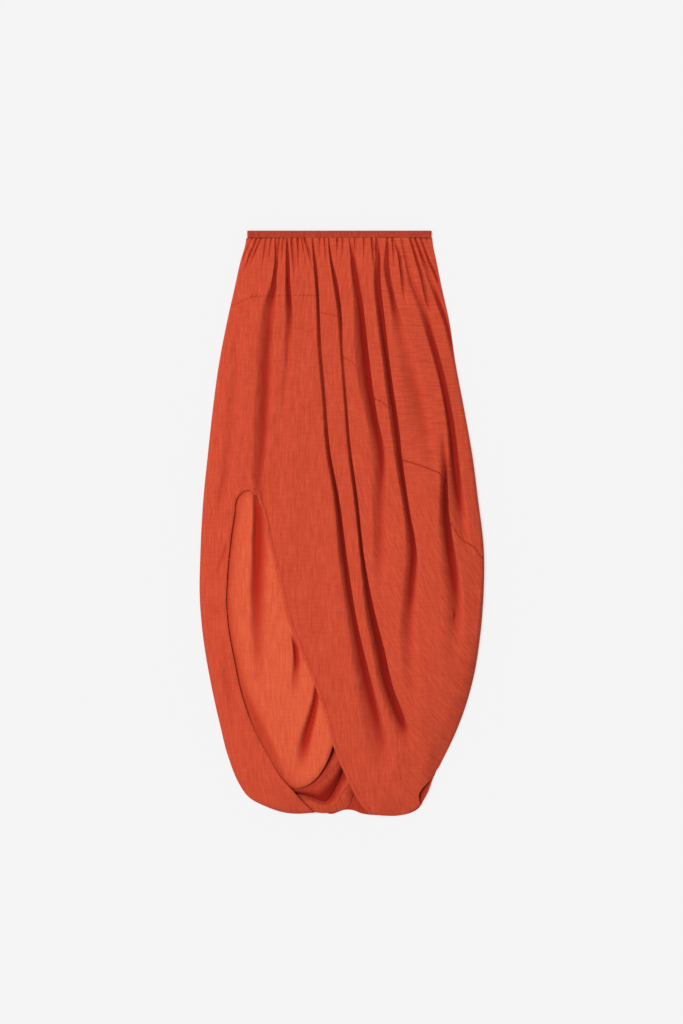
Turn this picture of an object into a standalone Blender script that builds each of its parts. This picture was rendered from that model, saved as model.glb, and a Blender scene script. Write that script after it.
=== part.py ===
"""Balloon skirt, laid flat: elastic waistband, draped yoke, ballooning lower front with a
drop-shaped slit, the drape seen inside it, the turned-up hem and the plain back.

The skirt lies on its back. +Z is up, the waist points to +Y, the wearer's left is +X.
The tables give places on the cloth in millimetres: across is X, down is the distance
from the top of the waistband towards the hem. Everything is built in millimetres and
turned into metres as each mesh is made.
"""

from collections import namedtuple

import bmesh
import bpy
import numpy as np

# Driving sizes, in millimetres
TO_METRES = 0.001
WAIST_Y = 476.3
BAND_DEPTH = 11.5
BAND_THICKNESS = 7.4
BAND_WALL = 2.3
BAND_RIB = 0.5
BAND_RIBS = 3
SIDE_END = 901.0
CLOTH = 1.2
GAP = 0.3
BACK_TOP = CLOTH
FRONT_RIM = BACK_TOP + GAP
EDGE_ROLL = 90.0
HEM_ROLL = 46.0
LEAST_SHARE = 0.3
# Each side of a seam moves back by a little over half the gap, because the seam's line turns
SEAM_SHARE = 0.6
COLUMN_GAP = 1.4
GATHER_BAND_END = 72.0


def table(columns, *rows):
    """A short table: a dictionary with one array for each named column."""
    names = columns.split()
    return {name: np.array([row[i] for row in rows], float) for i, name in enumerate(names)}


# The silhouette: its two sides at each distance down, and its lower edge
SIDES = table(
    "down left right",
    (0, -155, 146),
    (23, -158, 148),
    (47, -165, 153),
    (96, -176, 163),
    (145, -187, 174),
    (218, -201, 185),
    (292, -211, 199),
    (365, -219, 212),
    (434, -226, 221),
    (523, -231, 231),
    (600, -232, 230),
    (659, -227, 225),
    (732, -215, 213),
    (805, -199, 190),
    (859, -185, 165),
    (890, -172, 148),
    (911, -160, 141),
    (927, -146, 133),
    (941, -115, 124),
    (949, -85, 108),
)

HEMLINE = table(
    "across down",
    (-232, 601),
    (-227, 659),
    (-215, 732),
    (-199, 805),
    (-185, 859),
    (-168, 901),
    (-154, 921),
    (-124, 938),
    (-85, 949),
    (-48, 948),
    (-33, 946),
    (-20, 950),
    (6, 943),
    (18, 944),
    (31, 949),
    (57, 952),
    (96, 952),
    (112, 948),
    (124, 941),
    (133, 927),
    (141, 911),
    (148, 890),
    (165, 859),
    (190, 805),
    (213, 732),
    (225, 659),
    (231, 560),
)

# How high the filled front stands over its rim, down the skirt
LEVEL = table(
    "down height",
    (0, 5.6),
    (40, 9.0),
    (90, 13.0),
    (200, 19.0),
    (420, 27.0),
    (600, 33.0),
    (740, 32.0),
    (850, 26.0),
    (900, 22.0),
    (952, 16.0),
)

# The long folds of the front, left to right. Each runs from the waistband to the hem:
# the valley's place, the width of its slope on each side, and its depth
FOLD_COLUMNS = "across down left right depth"
FOLDS = (
    table(
        FOLD_COLUMNS,
        (-107, 13, 4.1, 2.0, 1.5),
        (-105, 51, 8.1, 2.4, 4.5),
        (-108, 88, 13.0, 2.9, 5.0),
        (-116, 121, 16.3, 11.4, 5.5),
        (-121, 178, 17.9, 14.7, 6.5),
        (-126, 275, 17.9, 16.3, 6.5),
        (-130, 357, 17.9, 14.7, 6.0),
        (-133, 410, 14.7, 13.0, 5.0),
        (-127, 440, 11.4, 11.4, 3.0),
        (-110, 496, 9.8, 9.8, 0),
        (-82, 601, 9.0, 9.0, 0),
        (-54, 691, 9.0, 9.0, 0),
        (-25, 760, 9.0, 9.0, 0),
        (-2, 830, 9.0, 9.0, 0),
        (22, 892, 9.0, 9.0, 0),
        (48, 950, 9.0, 9.0, 0),
    ),
    table(
        FOLD_COLUMNS,
        (-88, 13, 3.3, 2.0, 1.5),
        (-86, 41, 4.9, 2.0, 4.0),
        (-84, 88, 8.1, 2.0, 5.0),
        (-84, 137, 11.4, 4.9, 3.5),
        (-88, 227, 9.8, 8.1, 2.4),
        (-98, 357, 9.8, 8.1, 0),
        (-95, 438, 9.0, 9.0, 0),
        (-82, 536, 9.0, 9.0, 0),
        (-62, 634, 9.0, 9.0, 0),
        (-33, 719, 9.0, 9.0, 0),
        (-7, 784, 9.0, 9.0, 0),
        (13, 846, 9.0, 9.0, 0),
        (36, 903, 9.0, 9.0, 0),
        (55, 952, 9.0, 9.0, 0),
    ),
    table(
        FOLD_COLUMNS,
        (-47, 13, 3.3, 1.6, 1.2),
        (-40, 64, 9.8, 1.6, 6.0),
        (-37, 108, 9.8, 1.6, 7.0),
        (-34, 178, 8.1, 1.6, 7.0),
        (-26, 275, 8.1, 1.6, 7.0),
        (-19, 357, 9.8, 1.6, 8.0),
        (-4, 438, 13.0, 1.6, 10.5),
        (9, 536, 14.7, 1.6, 10.5),
        (24, 634, 16.3, 2.1, 9.5),
        (44, 732, 24.4, 4.9, 9.0),
        (62, 822, 30.0, 14.7, 6.0),
        (73, 911, 26.1, 19.6, 0),
        (75, 952, 9.0, 9.0, 0),
    ),
    table(
        FOLD_COLUMNS,
        (-21, 13, 2.4, 1.6, 1.2),
        (-16, 47, 4.9, 1.6, 3.5),
        (-8, 80, 11.4, 1.6, 6.5),
        (0, 139, 9.8, 1.6, 6.0),
        (2, 194, 8.1, 1.6, 6.0),
        (8, 275, 8.1, 1.6, 6.5),
        (15, 357, 8.1, 1.6, 7.0),
        (26, 438, 9.8, 1.6, 8.5),
        (37, 536, 11.4, 1.6, 9.5),
        (53, 618, 16.3, 1.6, 11.5),
        (69, 683, 21.2, 2.0, 12.0),
        (82, 748, 22.8, 4.1, 11.0),
        (97, 794, 22.8, 8.1, 8.5),
        (108, 843, 19.6, 13.0, 0),
        (105, 887, 9.0, 9.0, 0),
        (96, 952, 9.0, 9.0, 0),
    ),
    table(
        FOLD_COLUMNS,
        (10, 13, 2.0, 3.3, 1.5),
        (14, 51, 3.3, 11.4, 5.0),
        (22, 96, 9.8, 9.8, 6.5),
        (34, 126, 17.9, 3.3, 7.5),
        (40, 181, 22.8, 2.0, 8.0),
        (49, 251, 22.8, 2.0, 8.5),
        (58, 308, 19.6, 2.0, 8.5),
        (65, 365, 19.6, 6.5, 7.0),
        (62, 438, 16.3, 13.0, 5.0),
        (62, 520, 14.7, 14.7, 4.0),
        (67, 588, 13.0, 14.7, 0),
        (81, 650, 9.0, 9.0, 0),
        (101, 724, 9.0, 9.0, 0),
        (114, 789, 9.0, 9.0, 0),
        (119, 843, 9.0, 9.0, 0),
        (112, 890, 9.0, 9.0, 0),
        (104, 950, 9.0, 9.0, 0),
    ),
    table(
        FOLD_COLUMNS,
        (58, 13, 4.9, 1.6, 1.5),
        (62, 39, 8.1, 1.6, 6.0),
        (63, 80, 9.8, 1.6, 9.0),
        (70, 148, 11.4, 1.6, 9.5),
        (81, 240, 13.0, 1.6, 9.5),
        (92, 316, 14.7, 1.6, 9.5),
        (100, 386, 13.0, 1.6, 9.0),
        (109, 450, 11.4, 1.6, 8.5),
        (119, 512, 16.3, 2.4, 8.5),
        (114, 569, 16.3, 9.8, 7.2),
        (108, 637, 16.3, 14.7, 5.0),
        (112, 724, 17.9, 16.3, 2.5),
        (120, 784, 16.3, 16.3, 0),
        (125, 838, 9.0, 9.0, 0),
        (120, 890, 9.0, 9.0, 0),
        (112, 948, 9.0, 9.0, 0),
    ),
    table(
        FOLD_COLUMNS,
        (88, 13, 3.0, 3.0, 0),
        (93, 51, 3.0, 3.0, 0),
        (106, 112, 4.0, 4.0, 0),
        (132, 194, 5.0, 5.0, 0),
        (153, 275, 5.0, 4.0, 0),
        (163, 324, 5.0, 1.6, 0),
        (167, 357, 6.5, 1.6, 5.0),
        (170, 403, 11.4, 1.6, 8.5),
        (173, 443, 16.3, 2.0, 10.5),
        (177, 504, 21.2, 4.1, 10.0),
        (183, 569, 22.8, 13.0, 7.5),
        (185, 621, 22.8, 16.3, 5.0),
        (179, 707, 16.3, 16.3, 0),
        (169, 764, 9.0, 9.0, 0),
        (146, 838, 9.0, 9.0, 0),
        (130, 890, 9.0, 9.0, 0),
        (119, 945, 9.0, 9.0, 0),
    ),
    table(
        FOLD_COLUMNS,
        (97, 13, 2.4, 1.6, 1.2),
        (105, 47, 4.9, 4.9, 2.5),
        (115, 86, 8.1, 6.5, 3.0),
        (133, 129, 11.4, 8.1, 4.0),
        (150, 174, 13.0, 8.1, 6.0),
        (164, 220, 13.0, 4.9, 8.0),
        (174, 262, 13.0, 4.1, 8.5),
        (184, 324, 11.4, 4.9, 8.2),
        (192, 381, 13.0, 7.3, 6.5),
        (205, 458, 17.9, 13.0, 4.0),
        (215, 517, 16.3, 13.0, 0),
        (219, 585, 9.0, 9.0, 0),
        (211, 667, 9.0, 9.0, 0),
        (197, 748, 9.0, 9.0, 0),
        (166, 830, 9.0, 9.0, 0),
        (138, 890, 9.0, 9.0, 0),
        (124, 941, 9.0, 9.0, 0),
    ),
)

# Gathers drawn in by the elastic: where each starts under the band and where it fades
GATHERS = table(
    "start_across start_depth end_across end_down width",
    (-152, 1.0, -164, 40, 2.2),
    (-138, 2.4, -160, 55, 3.0),
    (-131, 1.2, -150, 52, 2.6),
    (-123, 1.4, -130, 55, 2.6),
    (-115, 1.0, -119, 45, 2.2),
    (-101, 1.1, -102, 56, 2.2),
    (-95, 1.0, -96, 48, 2.0),
    (-81, 1.4, -74, 66, 2.8),
    (-72, 1.0, -69, 52, 2.2),
    (-61, 2.2, -46, 66, 3.0),
    (-36, 1.2, -34, 52, 2.2),
    (-29, 1.4, -24, 60, 2.4),
    (-8, 1.8, -7, 45, 2.0),
    (1, 1.2, 2, 50, 2.2),
    (21, 1.4, 24, 62, 2.8),
    (36, 1.3, 36, 55, 2.4),
    (48, 2.2, 53, 62, 2.8),
    (74, 2.0, 75, 66, 2.8),
    (82, 1.8, 86, 64, 2.4),
    (111, 2.0, 124, 64, 2.4),
    (119, 2.4, 136, 66, 2.6),
    (128, 2.2, 145, 62, 2.4),
    (137, 1.2, 149, 45, 2.0),
)

# How each gather widens and fades, from the band to its end
GATHER_SHAPE = table("along wide deep", (0, 0.8, 1), (0.55, 1, 0.75), (1, 1.2, 0))

# Side slope folds that need no column of their own: two dips near the right side
SIDE_DIPS = (
    table(
        FOLD_COLUMNS,
        (136, 66, 4.5, 4.5, 0),
        (148, 90, 4.9, 4.9, 3.0),
        (155, 112, 4.9, 8.1, 5.0),
        (168, 148, 4.9, 8.1, 5.0),
        (177, 183, 4.9, 6.5, 4.0),
        (187, 218, 4.9, 4.9, 0),
    ),
    table(
        FOLD_COLUMNS,
        (-170, 129, 13.0, 13.0, 0),
        (-172, 235, 13.0, 13.0, 1.4),
        (-180, 324, 14.7, 14.7, 1.4),
        (-192, 417, 11.4, 11.4, 2.0),
        (-206, 487, 8.1, 8.1, 0),
    ),
)

# The line of the slit: a plain line of the weave above it, then its two edges
SLIT_LEAD = table(
    "across down",
    (-134, 13),
    (-140, 88),
    (-150, 130),
    (-154, 200),
    (-157, 300),
    (-156, 370),
    (-150, 423),
)
SLIT_RIGHT = table(
    "across down",
    (-150, 423),
    (-141, 424),
    (-138, 430),
    (-134, 445),
    (-129, 457),
    (-122, 490),
    (-110, 541),
    (-98, 587),
    (-90, 626),
    (-83, 645),
    (-66, 688),
    (-49, 727),
    (-38, 756),
    (-23, 805),
    (-15, 835),
    (-4, 864),
    (9, 893),
    (20, 916),
    (31, 934),
    (42, 947),
)
SLIT_LEFT = table(
    "across down",
    (-150, 423),
    (-164, 427),
    (-169, 437),
    (-175, 465),
    (-183, 512),
    (-189, 582),
    (-188, 611),
    (-182, 654),
    (-172, 701),
    (-163, 756),
    (-147, 810),
    (-126, 851),
    (-105, 877),
    (-87, 900),
    (-72, 914),
    (-56, 929),
)
STRIP_OUTER = table(
    "across down",
    (-225, 423),
    (-229, 487),
    (-231, 523),
    (-232, 585),
    (-231, 615),
    (-227, 659),
    (-220, 707),
    (-211, 756),
    (-198, 813),
    (-185, 859),
    (-170, 897),
    (-154, 921),
    (-124, 938),
    (-85, 949),
    (-60, 948.5),
)
FRONT_HEM_RIGHT = table(
    "across down",
    (221, 434),
    (228, 496),
    (231, 535),
    (230, 585),
    (225, 659),
    (217, 712),
    (205, 760),
    (190, 805),
    (165, 859),
    (148, 890),
    (139, 899),
    (130, 908),
    (125, 917),
    (126, 929),
    (129, 936),
)

# The yoke seam, by the fold line that it crosses; it steps down under each deep fold
SEAM = (
    (0, 122),
    (0.5, 116),
    (1, 108),
    (2, 107),
    (4, 107),
    (4, 132),
    (5, 143),
    (5, 200),
    (5.5, 215),
    (5.75, 232),
    (6, 243),
    (6, 269),
    (6.5, 279),
    (7, 297),
    (7, 365),
    (7.5, 384),
    (7.75, 395),
    (8, 409),
    (8, 458),
    (8.32, 484),
    (8.63, 502),
    (9, 519),
    (9.5, 528),
    (10, 536),
)

# The drape inside the slit, which ends in a hanging curve, and its soft folds
DRAPE_LEFT = table(
    "across down",
    (-190, 408),
    (-202, 471),
    (-209, 553),
    (-209, 610),
    (-202, 675),
    (-185, 756),
    (-164, 822),
    (-134, 868),
    (-101, 905),
)
DRAPE_RIGHT = table(
    "across down",
    (-118, 408),
    (-106, 471),
    (-93, 536),
    (-74, 618),
    (-51, 691),
    (-24, 740),
    (-8, 775),
    (2, 812),
)
DRAPE_EDGE = table(
    "across down",
    (-101, 905),
    (-85, 907),
    (-75, 908),
    (-64, 905),
    (-52, 899),
    (-41, 889),
    (-31, 875),
    (-22, 857),
    (-14, 836),
    (2, 812),
)
DRAPE_FOLDS = (
    table(
        FOLD_COLUMNS,
        (-137, 429, 8.1, 8.1, 3.0),
        (-136, 496, 9.8, 9.8, 3.2),
        (-138, 593, 9.8, 13.0, 2.6),
        (-139, 683, 11.4, 13.0, 0),
    ),
    table(
        FOLD_COLUMNS,
        (-78, 672, 5.0, 8.1, 0),
        (-74, 703, 6.5, 13.0, 2.8),
        (-74, 735, 8.1, 14.7, 2.2),
        (-75, 768, 8.1, 11.4, 0),
    ),
    table(
        FOLD_COLUMNS,
        (-41, 745, 4.9, 4.9, 1.5),
        (-48, 784, 7.3, 7.3, 3.4),
        (-57, 822, 8.1, 8.1, 3.2),
        (-68, 870, 9.8, 9.8, 0),
    ),
)
# How far the drape lies below the front's face: across it, and near its sewn top edge
DRAPE_DROP = table("share drop", (0, 6.0), (0.4, 5.0), (0.75, 3.8), (1, 2.5))
DRAPE_TOP_DROP = 2.7
DRAPE_TOP_ROWS = 3
DRAPE_CLEAR = 0.4
DRAPE_ROWS = 17
DRAPE_COLUMNS = (0, 0.08, 0.2, 0.32, 0.42, 0.52, 0.62, 0.72, 0.82, 0.92, 1)

# The turned-up hem seen under the drape: a band, and the strip twisted below it
HEM_BAND = table(
    "upper_across upper_down lower_across lower_down",
    (-88, 915, -80, 926),
    (-69, 911, -60, 922),
    (-52, 904, -41, 922),
    (-36, 893, -24, 912),
    (-20, 878, -9, 895),
    (-4, 862, 4, 877),
    (12, 845, 17, 861),
)
HEM_TWIST = table(
    "upper_across upper_down lower_across lower_down",
    (-76, 928, -66, 940),
    (-59, 926, -48, 946),
    (-40, 925, -33, 944),
    (-21, 915, -18, 948),
    (-6, 897, -3, 945),
    (7, 878, 10, 939),
    (20, 866, 26, 934),
)
HEM_BAND_CREST = 4.6
HEM_TWIST_CREST = 6.4
HEM_ROWS = 13
HEM_COLUMNS = (0, 0.08, 0.28, 0.5, 0.72, 0.92, 1)

COLOURS = {
    "terracotta_crepe": (0.527, 0.056, 0.028),
    "terracotta_lining_side": (0.70, 0.105, 0.045),
    "terracotta_elastic": (0.44, 0.040, 0.020),
}


def glide(at, knots, values):
    """Read a smooth curve through the knots; it stays level beyond both ends."""
    at = np.clip(np.asarray(at, float), knots[0], knots[-1])
    slopes = np.gradient(values, knots)
    left = np.clip(np.searchsorted(knots, at, side="right") - 1, 0, len(knots) - 2)
    step = knots[left + 1] - knots[left]
    t = (at - knots[left]) / step
    start = values[left] * (1 + 2 * t) * (1 - t) ** 2 + slopes[left] * step * t * (1 - t) ** 2
    end = values[left + 1] * t * t * (3 - 2 * t) - slopes[left + 1] * step * t * t * (1 - t)
    return start + end


def read(rows, column, down):
    """One column of a table at a distance down."""
    return glide(down, rows["down"], rows[column])


def pillow(distance, reach):
    """A rounded rise from an edge: 0 on the edge, 1 from reach inwards."""
    share = np.clip(distance / reach, 0, 1)
    return np.sqrt(1 - (1 - share) ** 2)


def valley(fold, across, down):
    """Depth of one fold: a soft bell with its own width on each side, inside its length."""
    offset = across - read(fold, "across", down)
    width = np.where(offset < 0, read(fold, "left", down), read(fold, "right", down))
    bell = 0.5 + 0.5 * np.cos(np.pi * np.clip(np.abs(offset) / width, 0, 1))
    ends = (down >= fold["down"][0] - 1) & (down <= fold["down"][-1])
    return np.where(ends, np.clip(read(fold, "depth", down), 0, None) * bell, 0)


def gather_fold(row):
    """One short gather as a fold that starts at the band and fades out."""
    start, depth, end, end_down, width = row
    rows = []
    for along, wide, deep in zip(*GATHER_SHAPE.values()):
        place = start + along * (end - start)
        down = max(along * end_down, BAND_DEPTH)
        rows.append((place, down, wide * width, wide * width, deep * depth))
    return table(FOLD_COLUMNS, *rows)


GATHER_FOLDS = [gather_fold(row) for row in zip(*GATHERS.values())]
FRONT_FOLDS = list(FOLDS) + list(SIDE_DIPS) + GATHER_FOLDS


def front_height(across, down):
    """Height of the front's outer face: a pillow over the outline, less every fold."""
    from_left = across - read(SIDES, "left", down)
    from_right = read(SIDES, "right", down) - across
    from_hem = glide(across, HEMLINE["across"], HEMLINE["down"]) - down
    rise = read(LEVEL, "height", down) * pillow(from_left, EDGE_ROLL)
    rise = rise * pillow(from_right, EDGE_ROLL) * pillow(from_hem, HEM_ROLL)
    sunk = sum(valley(fold, across, down) for fold in FRONT_FOLDS)
    return FRONT_RIM + np.maximum(rise - sunk, LEAST_SHARE * rise)


def seam_down(line, right_side):
    """Distance down of the yoke seam at a fold line, on the left or right of its step."""
    lines = np.array([row[0] for row in SEAM])
    downs = np.array([row[1] for row in SEAM], float)
    step = np.flatnonzero(np.abs(lines - line) < 1e-6)
    if len(step):
        return downs[step[-1] if right_side else step[0]]
    return float(np.interp(line, lines, downs))


def spread(places):
    """Keep neighbouring columns at least a little apart, with both ends where they are."""
    places = list(places)
    least = min(COLUMN_GAP, 0.9 * (places[-1] - places[0]) / (len(places) - 1))
    for i in range(1, len(places) - 1):
        places[i] = max(places[i], places[i - 1] + least)
    for i in range(len(places) - 2, 0, -1):
        places[i] = min(places[i], places[i + 1] - least)
    return places


Station = namedtuple("Station", "line right_side guide side")
RIM_STEPS = (0.0, 0.8, 4.0, 12.0)
STRIP_SHARES = (0.5, 0.86)
RIM_LINES = 0.25
# A fold's shoulder stays within this share of the way to its neighbour, and so do the rim's steps
SHOULDER_SHARE = 0.42
RIM_SHARE = 0.4


def front_stations():
    """Columns of the front: rim steps, the slit line, three for each fold, and middles."""
    rim_line = RIM_LINES / len(RIM_STEPS)
    stations = [Station(i * rim_line, True, "left", step) for i, step in enumerate(RIM_STEPS)]
    stations += [Station(share, True, "strip", share) for share in STRIP_SHARES]
    stations += [Station(1, True, "slit", 0)]
    for i in range(len(FOLDS)):
        line = i + 2
        stations.append(Station(line - 0.5, True, "middle", i))
        stations.append(Station(line - 0.25, False, "fold", (i, "left")))
        stations.append(Station(line, False, "fold", (i, "bottom")))
        stations.append(Station(line + 0.25, True, "fold", (i, "right")))
    stations.append(Station(len(FOLDS) + 1.5, True, "middle", len(FOLDS)))
    for i, step in reversed(list(enumerate(RIM_STEPS))):
        stations.append(Station(len(FOLDS) + 2 - i * rim_line, True, "right", step))
    return stations


STATIONS = front_stations()
SLIT_COLUMN = [station.guide for station in STATIONS].index("slit")


def guide_places(down):
    """X of every fold line at one distance down, with the slit line first, the side last."""
    if down < SLIT_RIGHT["down"][0]:
        slit = float(read(SLIT_LEAD, "across", down))
    else:
        slit = float(read(SLIT_RIGHT, "across", down))
    if down > FRONT_HEM_RIGHT["down"][0]:
        right = float(read(FRONT_HEM_RIGHT, "across", down))
    else:
        right = float(read(SIDES, "right", down))
    folds = [float(read(fold, "across", down)) for fold in FOLDS]
    return [slit] + folds + [right]


def station_place(station, down):
    """X of one column at one distance down."""
    guides = guide_places(down)
    left = float(read(SIDES, "left", down))
    slit = guides[0]
    if station.guide == "left":
        return left + station.side
    if station.guide == "strip":
        return left + station.side * (slit - left)
    if station.guide == "slit":
        return slit

    def edge(index, side):
        """A fold's left or right shoulder, never past the middle towards its neighbour."""
        centre = guides[index + 1]
        neighbour = guides[index] if side == "left" else guides[index + 2]
        width = float(read(FOLDS[index], side, down))
        width = min(width, SHOULDER_SHARE * abs(neighbour - centre))
        return centre - width if side == "left" else centre + width

    room = guides[-1] - edge(len(FOLDS) - 1, "right")
    if station.guide == "right":
        return guides[-1] - station.side * min(1, RIM_SHARE * room / RIM_STEPS[-1])
    if station.guide == "fold":
        index, side = station.side
        return guides[index + 1] if side == "bottom" else edge(index, side)
    index = station.side
    before = slit if index == 0 else edge(index - 1, "right")
    if index == len(FOLDS):
        after = guides[-1] - min(RIM_STEPS[-1], RIM_SHARE * room)
    else:
        after = edge(index, "left")
    return 0.5 * (before + after)


def mid_down(station):
    """Distance down of the row that passes the top of the slit and falls to the right."""
    fall = 22.0
    return SLIT_RIGHT["down"][0] + fall * max(station.line - 1, 0)


def hem_down(station):
    """Distance down of the hem on each column right of the slit."""
    guide_ends = [rows["down"][-1] for rows in (SLIT_RIGHT, *FOLDS, FRONT_HEM_RIGHT)]
    return float(np.interp(station.line - 1, np.arange(len(guide_ends)), guide_ends))


def front_grid(stations, starts, ends, shares):
    """Rows of points between two lines of distances down, one column for each station."""
    rows = []
    for share in shares:
        downs = [start + share * (end - start) for start, end in zip(starts, ends)]
        places = spread([station_place(station, down) for station, down in zip(stations, downs)])
        rows.append(np.column_stack([places, downs]))
    return np.array(rows)


def by_length(rows, shares):
    """Points along a line given by a table, at shares of its length."""
    steps = np.hypot(np.diff(rows["across"]), np.diff(rows["down"]))
    lengths = np.concatenate([[0], np.cumsum(steps)])
    at = np.asarray(shares) * lengths[-1]
    return np.column_stack([glide(at, lengths, rows["across"]), glide(at, lengths, rows["down"])])


def loft(first, last, across_shares, down_shares):
    """Rows of plan points between two lines; across_shares may change from row to row."""
    starts = by_length(first, down_shares)
    ends = by_length(last, down_shares)
    grid = []
    for start, end in zip(starts, ends):
        width = np.hypot(*(end - start))
        grid.append([start + share * (end - start) for share in across_shares(width)])
    return np.array(grid)


def raise_points(plan, heights):
    """Turn plan points (across, down) and heights into places in the skirt's frame."""
    return np.dstack([plan[..., 0], WAIST_Y - plan[..., 1], heights])


def grid_normals(points):
    """A normal for each point of a grid, from its neighbours along both directions."""
    along_columns = np.gradient(points, axis=1)
    along_rows = np.gradient(points, axis=0)
    normals = np.cross(along_rows, along_columns)
    return normals / np.linalg.norm(normals, axis=2, keepdims=True)


def inner_face(points, normals, floor=FRONT_RIM):
    """The inside of a wall: a cloth's thickness in from its outside, kept off the back."""
    inner = points - CLOTH * normals
    inner[..., 2] = np.maximum(inner[..., 2], floor)
    return inner


def quads(index):
    """Faces over a grid of point numbers."""
    faces = []
    for upper, lower in zip(index[:-1], index[1:]):
        for i in range(len(upper) - 1):
            faces.append((upper[i], lower[i], lower[i + 1], upper[i + 1]))
    return faces


def material(name):
    """A matt cloth in the skirt's colour."""
    found = bpy.data.materials.get(name)
    if found:
        return found
    made = bpy.data.materials.new(name)
    made.use_nodes = True
    shader = made.node_tree.nodes["Principled BSDF"]
    shader.inputs["Base Color"].default_value = (*COLOURS[name], 1)
    shader.inputs["Roughness"].default_value = 0.9
    shader.inputs["Metallic"].default_value = 0
    made.diffuse_color = (*COLOURS[name], 1)
    return made


def wall(name, outer, inner, faces, cloth):
    """A closed wall from its outer and inner points, with a rim on every free edge."""
    count = len(outer)
    sides = {}
    for face in faces:
        for start, end in zip(face, face[1:] + face[:1]):
            sides[(start, end)] = True
    rims = [(b, a, a + count, b + count) for a, b in sides if (b, a) not in sides]
    insides = [tuple(i + count for i in reversed(face)) for face in faces]
    mesh = bpy.data.meshes.new(name)
    points = np.vstack([outer, inner]) * TO_METRES
    mesh.from_pydata([tuple(point) for point in points], [], faces + insides + rims)
    return finish(name, mesh, cloth)


def finish(name, mesh, cloth):
    """Turn the faces outwards, shade the cloth smooth and put the piece in its collection."""
    shape = bmesh.new()
    shape.from_mesh(mesh)
    bmesh.ops.recalc_face_normals(shape, faces=shape.faces)
    shape.to_mesh(mesh)
    shape.free()
    mesh.shade_smooth()
    mesh.set_sharp_from_angle(angle=np.radians(50))
    mesh.materials.append(material(cloth))
    piece = bpy.data.objects.new(name, mesh)
    SKIRT.objects.link(piece)
    return piece


def part_at_seam(points, normals, row):
    """Move a seam row apart by the sewing gap: one copy for each of the two pieces."""
    line = points[row]
    runs = np.diff(line, axis=0)
    runs /= np.linalg.norm(runs, axis=1, keepdims=True)
    before = np.vstack([runs[:1], runs])
    after = np.vstack([runs, runs[-1:]])
    tangents = before + after
    turn = 0.5 * np.linalg.norm(tangents, axis=1, keepdims=True)
    away = np.cross(tangents, normals[row])
    away /= np.linalg.norm(away, axis=1, keepdims=True)
    half_gap = SEAM_SHARE * GAP / np.clip(turn, 0.5, 1)
    return line - half_gap * away, line + half_gap * away


# Rows of each part of the front, as shares of the way down it
BAND_SHARES = (0, 0.13, 0.3, 0.5, 0.74, 1)
YOKE_SHARES = (0, 0.18, 0.36, 0.54, 0.7, 0.85, 1)
MIDDLE_SHARES = (0, 0.08, 0.2, 0.33, 0.46, 0.6, 0.73, 0.86, 1)
LOWER_SHARES = (
    (0, 0.05, 0.11, 0.18, 0.26, 0.34, 0.42, 0.5, 0.58)
    + (0.66, 0.74, 0.81, 0.87, 0.92, 0.955, 0.98, 0.993, 1)
)


def front():
    """The yoke and the lower front: one continuous draped surface, parted at their seam."""
    seam = [seam_down(s.line, s.right_side) for s in STATIONS]
    middle = [mid_down(s) for s in STATIONS]
    band_line = [BAND_DEPTH + GAP] * len(STATIONS)
    gather_line = [GATHER_BAND_END] * len(STATIONS)

    yoke_plan = front_grid(STATIONS, gather_line, seam, YOKE_SHARES)
    upper_plan = front_grid(STATIONS, seam, middle, MIDDLE_SHARES)
    plan = np.vstack([yoke_plan, upper_plan[1:]])
    points = raise_points(plan, front_height(plan[..., 0], plan[..., 1]))
    normals = grid_normals(points)
    seam_row = len(YOKE_SHARES) - 1
    yoke_edge, drape_edge = part_at_seam(points, normals, seam_row)

    yoke_points = points[: seam_row + 1].copy()
    yoke_points[-1] = yoke_edge
    yoke_normals = normals[: seam_row + 1]
    build_yoke(yoke_points, yoke_normals, band_line)

    upper_points = points[seam_row:].copy()
    upper_points[0] = drape_edge
    build_lower_front(upper_points, normals[seam_row:], middle)


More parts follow.
